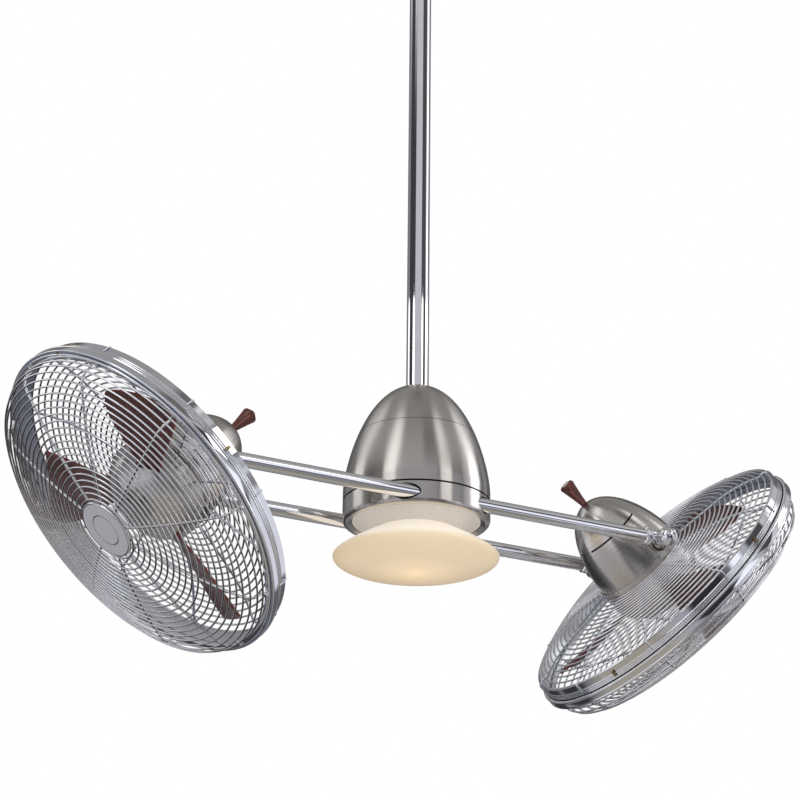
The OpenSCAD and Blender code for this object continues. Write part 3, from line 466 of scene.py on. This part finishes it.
class Shape:
    """Points and faces of one piece, in millimetres in the frame where it is drawn. slots has each
    face's material slot."""

    def __init__(self):
        self.points, self.faces, self.slots = [], [], []

    def polygon(self, corners, slot=0):
        self.faces.append(tuple(corners))
        self.slots.append(slot)

    def grid(self, rows, wrap_u=False, wrap_v=False, slot=0):
        """Faces between rows of points. It returns the index of the first point."""
        base, nu, nv = len(self.points), len(rows), len(rows[0])
        for row in rows:
            self.points.extend(row)
        for i in range(nu if wrap_u else nu - 1):
            for j in range(nv if wrap_v else nv - 1):
                a, b = base + i * nv, base + (i + 1) % nu * nv
                c, d = j, (j + 1) % nv
                self.polygon((a + c, b + c, b + d, a + d), slot)
        return base

    def loft(self, rows, slot=0, first_end=True):
        """A skin over closed loops of points. A flat face closes its last end, and its first too unless
        first_end is false."""
        base, n = self.grid(rows, wrap_v=True, slot=slot), len(rows[0])
        if first_end:
            self.polygon(range(base, base + n), slot)
        last = base + n * (len(rows) - 1)
        self.polygon(range(last, last + n), slot)

    def lathe(self, profile, segs=128, slot=0, closed=False, place=None):
        """profile is radius and height; where it is closed it is a ring's section. place moves the
        result from the Z axis to where it belongs."""
        rows = []
        for c, s in circle(segs):
            row = [(r * c, r * s, z) for r, z in profile]
            if place:
                row = [tuple(place @ Vector(p)) for p in row]
            rows.append(row)
        self.grid(rows, wrap_u=True, wrap_v=closed, slot=slot)

    def ring(self, r, z, wire):
        self.lathe([(r + wire * c, z + wire * s) for c, s in circle(8)], 120, closed=True)

    def wire(self, path, radii, slot=0):
        """A round wire along a path, with its radius at each point."""
        points = [Vector(p) for p in path]
        last = len(points) - 1
        rows = []
        normal = None
        for i, (point, radius) in enumerate(zip(points, radii)):
            way = (points[min(i + 1, last)] - points[max(i - 1, 0)]).normalized()
            if normal is None:
                normal = way.orthogonal()
            normal = (normal - way * normal.dot(way)).normalized()
            across = way.cross(normal)
            rows.append([tuple(point + (normal * c + across * s) * radius) for c, s in circle(8)])
        self.loft(rows, slot)

    def piece(self, name, matrix, body, mats, replaces, sharp=None):
        """Make the piece, ride it on its body and let it stand for the CAD nodes that it replaces. It is
        smooth where its faces meet at less than the angle sharp, and flat all over without one."""
        me = bpy.data.meshes.new(name)
        me.from_pydata([(x * MM, y * MM, z * MM) for x, y, z in self.points], [], self.faces)
        me.transform(matrix)
        for mat in mats:
            me.materials.append(mat)
        me.polygons.foreach_set("material_index", self.slots)
        me.update()
        ob = bpy.data.objects.new(name, me)
        bpy.context.scene.collection.objects.link(ob)
        bm = bmesh.new()
        bm.from_mesh(me)
        bmesh.ops.remove_doubles(bm, verts=bm.verts, dist=1e-7)
        bmesh.ops.recalc_face_normals(bm, faces=bm.faces)
        bm.to_mesh(me)
        bm.free()
        if sharp:
            me.polygons.foreach_set("use_smooth", [True] * len(me.polygons))
            me.set_sharp_from_angle(angle=math.radians(sharp))
        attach(ob, body)
        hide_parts(*replaces)

    def head_piece(self, side, name, node, mats, sharp=None, turn=0):
        """A piece of a head, turned round the head's axis by some degrees."""
        place = HEAD[side] @ Matrix.Rotation(math.radians(turn), 4, "Z")
        self.piece(f"{side}_{name}", place, side + "_head", mats, [f"{side}_{node}"], sharp)


# ---- Wire guards and band ----
# The guards' and the band's material slots, and the facets round them
WIRES, RIM, GAP_SHADE, WALL, SLEEVE = range(5)
OUTSIDE, INSIDE = range(2)
RIM_SEGS = 160
BAND_SEGS = 180


def guard_curve(guard):
    """Length of a guard's profile, and a function from a distance along it to a radius and a height over
    the rim. lift moves the point off the curve, outward where it is positive."""
    bulge, turn = guard["bulge"], guard["turn"]
    a0 = math.asin(turn / bulge)
    depth = abs(guard["apex"] - guard["rim"])
    shoulder = depth - bulge * (1 - math.cos(a0))
    a1 = 2 * math.atan(shoulder / (GUARD_R - turn)) - a0
    bend = (GUARD_R - turn) / (math.sin(a1) - math.sin(a0))
    s0 = bulge * a0

    def at(s, lift=0.0):
        if s < s0:
            a = s / bulge
            r = bulge * math.sin(a)
            h = depth - bulge * (1 - math.cos(a))
        else:
            a = a0 + (s - s0) / bend
            r = turn + bend * (math.sin(a) - math.sin(a0))
            h = shoulder - bend * (math.cos(a0) - math.cos(a))
        return r + lift * math.sin(a), h + lift * math.cos(a)

    return s0 + bend * (a1 - a0), at


def cage(s, guard, steps, tail, foot, rib_slot, beyond=0.0):
    """A guard's round wires, and its ribs, which start 2 mm before the first wire. The last points of a
    rib on the curve take their lift and their own radius from tail. foot carries the rib on to the rim, as
    radius, height and the rib's own radius."""
    span, at = guard_curve(guard)
    span += beyond
    first, rim, ahead = guard["first"], guard["rim"], guard["ahead"]
    count = math.floor((span - first) / WIRE_PITCH)
    for i in range(count + 1):
        r, h = at(first + i * (span - first) / count)
        s.ring(r, rim + ahead * h, WIRE_R)
    start = first - 2
    path = []
    radii = []
    for i, (lift, radius) in enumerate([(-LIFT, RIB_R)] * (steps + 1 - len(tail)) + tail):
        r, h = at(start + (span - start) * i / steps, lift)
        path.append((r, rim + ahead * h))
        radii.append(radius)
    for r, z, radius in foot:
        path.append((r, z))
        radii.append(radius)
    for k in range(RIBS):
        s.wire(spin(path, RIB_PHASE + k * 360 / RIBS), radii, rib_slot)


def front_guard(side):
    """The domed guard with its flat rim."""
    s = Shape()
    g, f, top = GUARD_R, BAND_FRONT, RIM_FACE
    # The ribs' feet lie out across the face of the rim
    foot = [(g - 2.2, top + 2.6, RIB_R), (g - 1.0, top + 1.5, RIB_R), (g + 1.0, top + 1.2, RIB_R),
            (g + 4.4, top + 1.1, RIB_R)]
    # The last wire stands just past the end of the curve
    cage(s, FRONT, 44, [], foot, WIRES, beyond=1.2)
    # A flat face, a rolled edge, and a deep gap before the band, painted black as shade
    face = [(g - 1.2, top - 0.9), (g - 0.8, top), (g + 3.6, top)]
    face += arc(g + 4.2, top - 1.3, 1.3, 88, -70, 8) + [(g + 3.4, top - 2.9)]
    gap = [face[-1], (g + 1.4, top - 3.1), (g + 1.4, f - 1.2), (BAND_IN - 0.3, f - 1.2)]
    s.lathe(face, RIM_SEGS, RIM)
    s.lathe(gap, RIM_SEGS, GAP_SHADE)
    # The inner wall, painted darker where it looks down, as shade
    s.lathe([gap[-1], (BAND_IN - 0.3, f - 4), (g - 0.6, f - 4), face[0]], RIM_SEGS, WALL)
    s.head_piece(side, "front_wires", "front_guard", [wire_chrome_painted_shade, chrome, black, wall_satin_painted_shade], sharp=50)


def rear_guard(side):
    """The flatter guard behind the blades, with the sleeve that holds it to the housing."""
    s = Shape()
    b, g, z = BAND_BACK, GUARD_R, REAR["rim"]
    # The ribs' ends come out past the last wire, hook over the rim and grow thinner
    tail = [(0.4, RIB_R), (0.4, 1.2)]
    foot = [(g + 2.4, z - 1.2, 1.0), (g + 4.0, z + 1.0, 0.9), (g + 4.4, z + 5.0, 0.9),
            (g + 4.5, z + 11.0, 0.8)]
    # The rear ribs take the walls' painted shade and light
    cage(s, REAR, 30, tail, foot, WALL)
    # A thin sleeve round the housing, under the first wire
    low = REAR["apex"] + REAR["first"] ** 2 / (2 * REAR["bulge"])
    r = SLEEVE_R
    s.lathe([(r, low - 8.1), (r + 0.6, low - 8.1), (r + 0.9, low + 2.1), (r, low + 2.1)], 128, SLEEVE,
            closed=True)
    # From the last wire forward: a plain wall, three rolled beads and a deep gap before the band, painted
    # black as shade
    wall = [(g + 0.6, z + 0.2), (g + 1.8, z - 0.4), (g + 3.1, z + 0.2), (g + 3.4, z + 7.4)]
    for centre in (8.6, 11.2, 13.8):
        wall += arc(g + 3.4, z + centre, 1.1, -75, 75, 6)
    gap = [wall[-1], (g + 3.0, b - 0.3), (g + 3.0, b + 0.6), (BAND_IN - 0.3, b + 0.6)]
    s.lathe(wall, RIM_SEGS, RIM)
    s.lathe(gap, RIM_SEGS, GAP_SHADE)
    # The inner wall, painted darker where it looks down, as shade
    s.lathe([gap[-1], (BAND_IN - 0.3, b + 4), (g + 1.0, b + 4), (g + 0.4, z + 1.4), wall[0]], RIM_SEGS, WALL)
    mats = [wire_chrome_painted_shade, chrome, black, wall_satin_painted_shade, head_nickel[side]]
    s.head_piece(side, "rear_wires", "rear_guard", mats, sharp=50)


def band(side):
    """The bright band round the cage, with lipped edges and a satin inner face, painted darker where it looks
    down, as shade.
    """
    s = Shape()
    lip, waist = BAND_R - 1.3, BAND_R - 0.7
    outside = arc(lip, BAND_BACK + 1.2, 1.2, -90, 60, 6)
    outside += [(waist, BAND_BACK + 2.6), (BAND_R - 0.4, (BAND_BACK + BAND_FRONT) / 2),
                (waist, BAND_FRONT - 2.6)]
    outside += arc(lip, BAND_FRONT - 1.2, 1.2, -60, 90, 6)
    s.lathe(outside, BAND_SEGS, OUTSIDE)
    s.lathe([outside[-1], (BAND_IN, BAND_FRONT), (BAND_IN, BAND_BACK), outside[0]], BAND_SEGS, INSIDE)
    s.head_piece(side, "band_skin", "band", [chrome, wall_satin_painted_shade], sharp=50)


def strap(s, inside, outside, degrees):
    """A bent strap; inside and outside are its two faces seen edge on, as radius and height, from end to
    end."""
    turn = Matrix.Rotation(math.radians(degrees), 3, "Z")
    loop = inside + outside[::-1]
    rows = [[tuple(turn @ Vector((r, y, z))) for r, z in loop] for y in (-CLIP_W / 2, CLIP_W / 2)]
    base, n = s.grid(rows, wrap_v=True), len(loop)
    for start in (base, base + n):
        for j in range(len(inside) - 1):
            s.polygon((start + j, start + j + 1, start + n - 2 - j, start + n - 1 - j))


def band_clips(side):
    """Small bent clips on the rims of both guards, beside the band."""
    s = Shape()
    b, f, g, z = BAND_R, BAND_FRONT, GUARD_R, REAR["rim"]
    for k in range(CLIPS):
        turn = CLIP_PHASE + k * 360 / CLIPS
        strap(s, [(g + 3.2, z + 4.4), (g + 4.4, z + 5.2), (g + 4.4, z + 8.0), (g + 5.6, z + 11.0)],
              [(g + 3.2, z + 3.5), (g + 5.3, z + 4.6), (g + 5.3, z + 8.0), (g + 4.9, z + 11.8)], turn)
        strap(s, [(b - 2.6, f - 0.9), (b - 2.8, f + 0.2), (g + 5.3, f + 1.2)],
              [(b - 1.6, f - 0.9), (b - 1.8, f + 0.9), (g + 5.5, f + 2.0)], turn)
    s.head_piece(side, "clip_straps", "band_clips", [bronze])


# ---- Blades, knobs and medallions ----
# Their material slots
FACE, EDGE = range(2)
SIDES, PLUG, RIDGE_HIGHLIGHT = range(3)
DISC, TRIM, GROOVE_SHADE = range(3)


def blade_half(r):
    """Half width of a blade at a radius."""
    root, wide = BLADE_HALF
    if r < BLADE_WIDE:
        u = max(0, r - BLADE_NECK) / (BLADE_WIDE - BLADE_NECK)
        return root + (wide - root) * math.sin(math.pi / 2 * u) ** 1.35
    u = (r - BLADE_WIDE) / (BLADE_TIP - BLADE_WIDE)
    return wide * max(0.0, 1 - u ** 2.2) ** (1 / 2.2)


def blade_point(r, y, rise):
    """Place on a blade that is cambered and slightly twisted. y is the distance across it, and rise the
    height over its middle surface."""
    u = max(0, r - BLADE_BEND) / (BLADE_TIP - BLADE_BEND)
    root, tip = BLADE_PITCH
    pitch = math.radians(root + (tip - root) * u)
    z = BLADE_CAMBER * (y / 40) ** 2 * min(1, 2 * u) + rise
    # The middle line sweeps sideways and comes back a little at the tip
    y += BLADE_SWEEP * math.sin(2.25 * u)
    return (r, y * math.cos(pitch) - z * math.sin(pitch),
            BLADE_T + BLADE_REACH * u + y * math.sin(pitch) + z * math.cos(pitch))


def blade(side, k):
    """A thin laminated plate with a rounded edge. It is drawn as loops that shrink from its outline to its
    spine, the part of its middle line between two radii."""
    s = Shape()
    spine_start, spine_end = BLADE_INNER + 4, BLADE_TIP - 22
    body, tip = 40, 14
    radii = [BLADE_INNER + (BLADE_WIDE - BLADE_INNER) * i / body for i in range(body + 1)]
    radii += [BLADE_WIDE + (BLADE_TIP - BLADE_WIDE) * math.sin(math.pi / 2 * i / tip)
              for i in range(1, tip + 1)]
    outline = [(r, blade_half(r)) for r in radii] + [(r, -blade_half(r)) for r in reversed(radii[:-1])]
    half = BLADE_THICK / 2
    # Each step has its inset from the outline, its height, and its share of the way to the spine
    rounded = [(half * (1 - math.cos(a)), half * math.sin(a), 0.0) for a in (0.0, 0.4, 0.8, 1.2, math.pi / 2)]
    flat = [(half, half, share) for share in (0.12, 0.3, 0.5, 0.7, 0.85, 0.97)]
    steps = rounded + flat
    loops = []
    for face in (1, -1):
        for inset, height, share in (steps[::-1] if face > 0 else steps[1:]):
            loop = []
            for r, y in outline:
                spine = min(max(r, spine_start), spine_end)
                d = math.hypot(spine - r, y)
                way = min(1.0, inset / d + share * (1 - inset / d))
                loop.append(blade_point(r + (spine - r) * way, y - y * way, face * height))
            loops.append(loop)
    s.loft(loops, FACE)
    # The rounded edge takes redder, lighter tones than the faces
    n = len(outline)
    edge = len(flat) * n
    for i in range(edge, edge + 2 * (len(rounded) - 1) * n):
        s.slots[i] = EDGE
    name = f"{side}_blade_{k + 1}"
    place = HEAD[side] @ Matrix.Rotation(math.radians(BLADE_TURN[side] + k * 360 / BLADES), 4, "Z")
    plane = place @ Matrix.Translation((0, 0, BLADE_T * MM))
    mats = [wood(name + "_face", plane, BLADE_GRAIN, FACE_TONES, BLADE_GLOSS),
            wood(name + "_edge", plane, BLADE_GRAIN, EDGE_TONES, BLADE_GLOSS)]
    s.piece(name + "_plate", place, side + "_fan", mats, [name], sharp=40)


def knob_section(r, z, round_off=0.0):
    """A square with rounded corners; r is its half diagonal, and round_off makes it rounder."""
    corner = r * (0.14 + 0.5 * round_off)
    quarter = [(r - corner + corner * math.cos(math.radians(a)), corner * math.sin(math.radians(a)))
               for a in CORNER]
    # The cosine and sine of each quarter turn take one corner to the next
    return [(x * c - y * s, x * s + y * c, z) for c, s in circle(4) for x, y in quarter]


def knob(side):
    """A flared handle with rounded corners and a pale domed plug in its end."""
    s = Shape()
    root, wide = KNOB_R
    rows = [knob_section(2.6, KNOB_ROOT + 0.4)]
    for i in range(KNOB_STEPS + 1):
        u = i / KNOB_STEPS
        z = KNOB_ROOT - (KNOB_LENGTH - 4) * u
        rows.append(knob_section(root + (wide - root) * u ** 1.2, z, 0.45 * u ** 3))
    tip = KNOB_ROOT - KNOB_LENGTH
    # A rounded end with a shallow socket for the plug
    for inset, up in ((0.15, 3.0), (0.5, 2.0), (1.2, 1.1), (2.2, 0.5), (3.0, 0.35), (3.4, 1.0)):
        rows.append(knob_section(wide - inset, tip + up, 0.45 + 0.1 * inset))
    s.loft(rows, SIDES)
    # The corners are painted paler than the sides, as a highlight along the ridges
    n = len(rows[0])
    for i in range((KNOB_STEPS - 2) * n):
        if i % n % len(CORNER) in (1, 2):
            s.slots[i] = RIDGE_HIGHLIGHT
    plug = [knob_section((wide - 3.3) * f, tip + 0.8 * f * f, 0.9) for f in (1.0, 0.85, 0.6, 0.3, 0.05)]
    s.loft(plug, PLUG, first_end=False)
    grain = HEAD[side] @ Matrix.Rotation(math.radians(90), 4, "Y")
    mats = [wood(side + "_knob_wood", grain, KNOB_GRAIN, KNOB_TONES, KNOB_GLOSS), pale_plug,
            wood(side + "_knob_ridge_highlight", grain, KNOB_GRAIN, RIDGE_HIGHLIGHT_TONES, KNOB_GLOSS)]
    s.head_piece(side, "knob_handle", "knob", mats, sharp=60, turn=KNOB_TURN[side])


def medallion(side):
    """The badge at the middle of the front guard: a bare silver disc with one groove round it."""
    s = Shape()
    back, top, r = MEDALLION_BACK, MEDALLION_BACK + MEDALLION_T, MEDALLION_R
    low = top - GROOVE_DEPTH
    inner, outer = GROOVE_R - GROOVE_HALF, GROOVE_R + GROOVE_HALF
    s.lathe([(0.01, top), (inner - 0.05, top), (inner, low)], slot=DISC)
    # The groove's floor is painted black as shade
    s.lathe([(inner, low), (outer, low)], slot=GROOVE_SHADE)
    s.lathe([(outer, low), (outer + 0.05, top), (r - 2.2, top)], slot=DISC)
    rim = [(r - 2.2, top)] + arc(r - 1.8, top - 1.8, 1.8, 78, 0, 6)
    s.lathe(rim + [(r, back + 0.3), (r - 0.4, back), (0.01, back)], slot=TRIM)
    s.head_piece(side, "badge", "medallion", [badge_silver, chrome, black], sharp=35)


# ---- Pivots at the rods' ends ----
PIVOTS = [(sx, sy) for sx in (-1, 1) for sy in (-1, 1)]


def about_bolt(sx, sy):
    """Matrix that takes the Z axis to a pivot's bolt, outward from the middle of the fan."""
    return Matrix.Translation((sx * PIVOT_X, 0, 0)) @ Matrix.Rotation(math.radians(-90 * sy), 4, "X")


def about_rod(sx, sy):
    """Matrix that takes the Z axis to a pivot's rod, back toward the hub."""
    return (Matrix.Translation((sx * PIVOT_X, sy * ROD_OFFSET, 0))
            @ Matrix.Rotation(math.radians(-90 * sx), 4, "Y"))


def cap_nuts():
    """Smooth domed nuts on the ends of the pivot bolts."""
    s = Shape()
    low, base = KNUCKLE_OUT, KNUCKLE_OUT + CAP_SKIRT
    r, height = CAP_R - 0.5, CAP_LENGTH - CAP_SKIRT
    dome = [(0.01, low), (CAP_R - 1.0, low), (CAP_R, low + 0.8), (CAP_R, base - 0.4), (r, base)]
    for degrees in range(6, 90, 6):
        a = math.radians(degrees)
        dome.append((r * math.cos(a), base + height * math.sin(a)))
    dome.append((0.01, low + CAP_LENGTH))
    for sx, sy in PIVOTS:
        s.lathe(dome, 48, place=about_bolt(sx, sy))
    s.piece("cap_domes", Matrix.Translation(HUB), "arms", [chrome], ["cap_nuts"], sharp=35)


def knuckles():
    """The castings at the rods' ends: an eye round the bolt, a ringed socket for the rod and a screw."""
    s = Shape()
    r, edge = KNUCKLE_R, 1.2
    eye = [(0.01, KNUCKLE_IN), (r - edge, KNUCKLE_IN), (r, KNUCKLE_IN + edge), (r, KNUCKLE_OUT - edge),
           (r - edge, KNUCKLE_OUT), (0.01, KNUCKLE_OUT)]
    socket = [(0.01, 4.0), (ROD_R - 0.6, 4.0), (ROD_R - 0.4, 11.0), (ROD_R + 0.7, 13.0), (ROD_R + 0.7, 19.0)]
    socket += arc(ROD_R + 0.9, 21.0, 1.5, -60, 60, 6) + arc(ROD_R + 0.5, 25.2, 1.5, -70, 90, 6)
    socket += [(ROD_R + 0.05, COLLAR_REACH), (ROD_R + 0.05, 5.0)]
    foot, top = ROD_R - 1.0, ROD_R + 3.0
    screw = [(0.01, foot), (3.0, foot), (3.0, top - 0.4), (2.6, top), (0.01, top)]
    screw_x = PIVOT_X - COLLAR_REACH + 5
    for sx, sy in PIVOTS:
        s.lathe(eye, 64, place=about_bolt(sx, sy))
        s.lathe(socket, 64, place=about_rod(sx, sy))
        s.lathe(screw, 32, place=Matrix.Translation((sx * screw_x, sy * ROD_OFFSET, 0)))
    s.piece("knuckle_castings", Matrix.Translation(HUB), "arms", [chrome], ["knuckles"], sharp=35)


cap_nuts()
knuckles()
for side in HEAD:
    band_clips(side)
    front_guard(side)
    rear_guard(side)
    band(side)
    knob(side)
    medallion(side)
    for k in range(BLADES):
        blade(side, k)

# ---- Stage: floor, world and lamps, in metres ----
FLOOR_R = 20
FLOOR_Z = -2.4


def make_floor():
    me = bpy.data.meshes.new("floor")
    rim = [(FLOOR_R * c, FLOOR_R * s, 0) for c, s in circle(72)]
    me.from_pydata(rim, [], [tuple(range(len(rim)))])
    ob = bpy.data.objects.new("floor", me)
    bpy.context.scene.collection.objects.link(ob)
    ob.location = (0, 0, FLOOR_Z)
    t = Material("pale_floor")
    t.put(Base_Color=(0.86, 0.86, 0.86, 1), Roughness=0.9)
    # Clear from below, and to bright metal, which mirrors the room that make_world paints
    below = t.add("ShaderNodeNewGeometry").outputs["Backfacing"]
    mirrored = t.add("ShaderNodeLightPath").outputs["Is Glossy Ray"]
    clear = t.add("ShaderNodeBsdfTransparent").outputs[0]
    shader = t.mix_shaders(t.math("MAXIMUM", below, mirrored), t.bsdf.outputs[0], clear)
    t.connect(shader, t.out.inputs[0])
    me.materials.append(t.mat)


make_floor()

# The room that bright metal mirrors: height above level in degrees, brightness and tint
WARM, COOL, PLAIN = (1.08, 1.0, 0.86), (0.96, 0.97, 1.09), (1.0, 1.0, 1.01)
ROOM = ((-90, 0.36, WARM), (-56, 0.32, WARM), (-42, 0.15, COOL), (-22, 0.12, COOL), (-4, 0.14, COOL),
        (4, 0.22, COOL), (14, 0.48, COOL), (44, 0.50, PLAIN), (57, 0.34, PLAIN), (90, 0.30, PLAIN))
# A ramp's colours stop at 1, so the tints are divided by this, and the room's strength makes up for it
TINT_TOP = 1.1
# The light that everything else gets from all round
SOFT = (0.66, 0.66, 0.67, 1)
# Soft boxes and dark flags in the room, each painted over the last: bearing as seen from the fan, where 0
# is toward the photograph's camera and 90 to its right, half width, lowest and highest edge, brightness,
# and width of the soft edge, with all angles in degrees
PATCHES = (
    # Low down and about level, where the guards, the housings and the rods' undersides look
    (-68, 44, -54, -24, 0.48, 5),
    (-68, 41, -24, 3, 0.95, 3),
    (78, 26, -62, -22, 0.24, 6),
    (18, 26, -56, -32, 0.38, 6),
    (108, 30, -21, 3, 0.74, 3),
    (34, 16, -34, -6, 0.03, 3),
    (-156, 24, -42, 3, 0.04, 4),
    (160, 13, -14, 5, 0.12, 3),
    (180, 25, -48, -16, 0.30, 4),
    (12, 5, -10, 8, 0.40, 2),
    # The dim wall behind the fan
    (180, 38, 4, 54, 0.13, 5),
    # The belt that the downrod mirrors
    (-66, 35, 16, 32, 0.05, 2),
    (-124, 24, 16, 32, 0.22, 3),
    (56, 24, 16, 32, 0.07, 2),
    (1, 31, 16, 32, 0.55, 2),
    (90, 10, 16, 32, 0.60, 2),
    # High soft boxes and the dark beside them
    (-43, 10, 31, 60, 1.60, 4),
    (28, 15, 36, 56, 0.15, 4),
    (50, 8, 41, 60, 1.50, 3),
    (105, 9, 6, 50, 1.60, 3),
    (124, 9, 16, 32, 0.10, 2),
    (-106, 10, 31, 56, 1.10, 4),
    # Two small boxes on the right, one about level and one under it
    (58, 13, -11, 10, 1.05, 2),
    (74, 10, -34, -9, 0.70, 3),
)


def sine(degrees):
    return math.sin(math.radians(degrees))


def cosine(degrees):
    return math.cos(math.radians(degrees))


def toward(bearing):
    """Level direction at a bearing as seen from the fan, where 0 is toward the photograph's camera."""
    a = bearing - 90 - VIEW_BEARING
    return (cosine(a), sine(a), 0.0)


def make_world():
    world = bpy.data.worlds.new("studio")
    bpy.context.scene.world = world
    world.use_nodes = True
    # The patches show in the metal and aren't aimed at as lamps
    world.cycles.sampling_method = "NONE"
    t = Graph(world.node_tree, "ShaderNodeOutputWorld")
    ray = t.add("ShaderNodeLightPath").outputs
    x, y, z = t.split(t.add("ShaderNodeTexCoord").outputs["Generated"])
    level = t.vec("NORMALIZE", t.join(x, y, 0.0))
    height = t.math("MULTIPLY_ADD", z, 0.5, 0.5)
    greys = []
    tints = []
    for degrees, grey, tone in ROOM:
        place = 0.5 + 0.5 * sine(degrees)
        greys.append((place, (grey, grey, grey)))
        tints.append((place, [c / TINT_TOP for c in tone]))
    total = t.ramp(height, *greys)
    tint = t.ramp(height, *tints)
    for bearing, half, low, high, radiance, blur in PATCHES:
        across = t.vec("DOT_PRODUCT", level, toward(bearing))
        sides = t.step(across, cosine(half + blur), cosine(max(0, half - blur)))
        bottom = t.step(z, sine(low - blur), sine(low + blur))
        top = t.step(z, sine(high + blur), sine(high - blur))
        mask = t.math("MULTIPLY", t.math("MULTIPLY", sides, bottom), top)
        total = t.mix("FLOAT", mask, total, radiance)
    room = t.fill(t.add("ShaderNodeBackground"), t.vec("MULTIPLY", total, tint), TINT_TOP)
    soft = t.fill(t.add("ShaderNodeBackground"), SOFT)
    backdrop = t.fill(t.add("ShaderNodeBackground"), (1, 1, 1, 1))
    lit = t.mix_shaders(ray["Is Glossy Ray"], soft, room)
    t.connect(t.mix_shaders(ray["Is Camera Ray"], lit, backdrop), t.out.inputs[0])


make_world()

# Soft boxes that face the hub: name, bearing, distance, height over the hub, width, height, radiance, and
# whether bright metal mirrors them
PANELS = (
    ("box_a", -43, 2.0, 0.85, 0.70, 0.50, 2.0, True),
    ("box_b", 46, 2.0, 0.85, 0.64, 0.50, 1.9, True),
    ("box_c", 103, 2.0, 0.85, 0.76, 0.50, 1.9, True),
    ("box_d", -104, 2.0, 0.85, 0.80, 0.50, 1.3, True),
    ("lamp_left", -38, 1.9, 0.75, 0.7, 0.9, 0.7, False),
    ("lamp_right", 50, 1.9, 0.65, 0.6, 0.8, 0.6, False),
    ("lamp_below", 10, 1.9, -0.6, 0.9, 0.5, 0.8, False),
)


def panel(name, bearing, distance, over, width, height, radiance, mirrored):
    """A soft box as one row of PANELS describes it."""
    at = Vector(toward(bearing)) * distance + HUB + UP * over
    light = bpy.data.lights.new(name, "AREA")
    light.shape = "RECTANGLE"
    light.size, light.size_y = width, height
    light.energy = radiance * math.pi * width * height
    ob = bpy.data.objects.new(name, light)
    bpy.context.scene.collection.objects.link(ob)
    ob.location = at
    ob.rotation_euler = (HUB + UP * 0.1 - at).to_track_quat("-Z", "Y").to_euler()
    ob.visible_camera = False
    ob.visible_glossy = mirrored


for row in PANELS:
    panel(*row)

scene = bpy.context.scene
scene.view_settings.view_transform = "Standard"
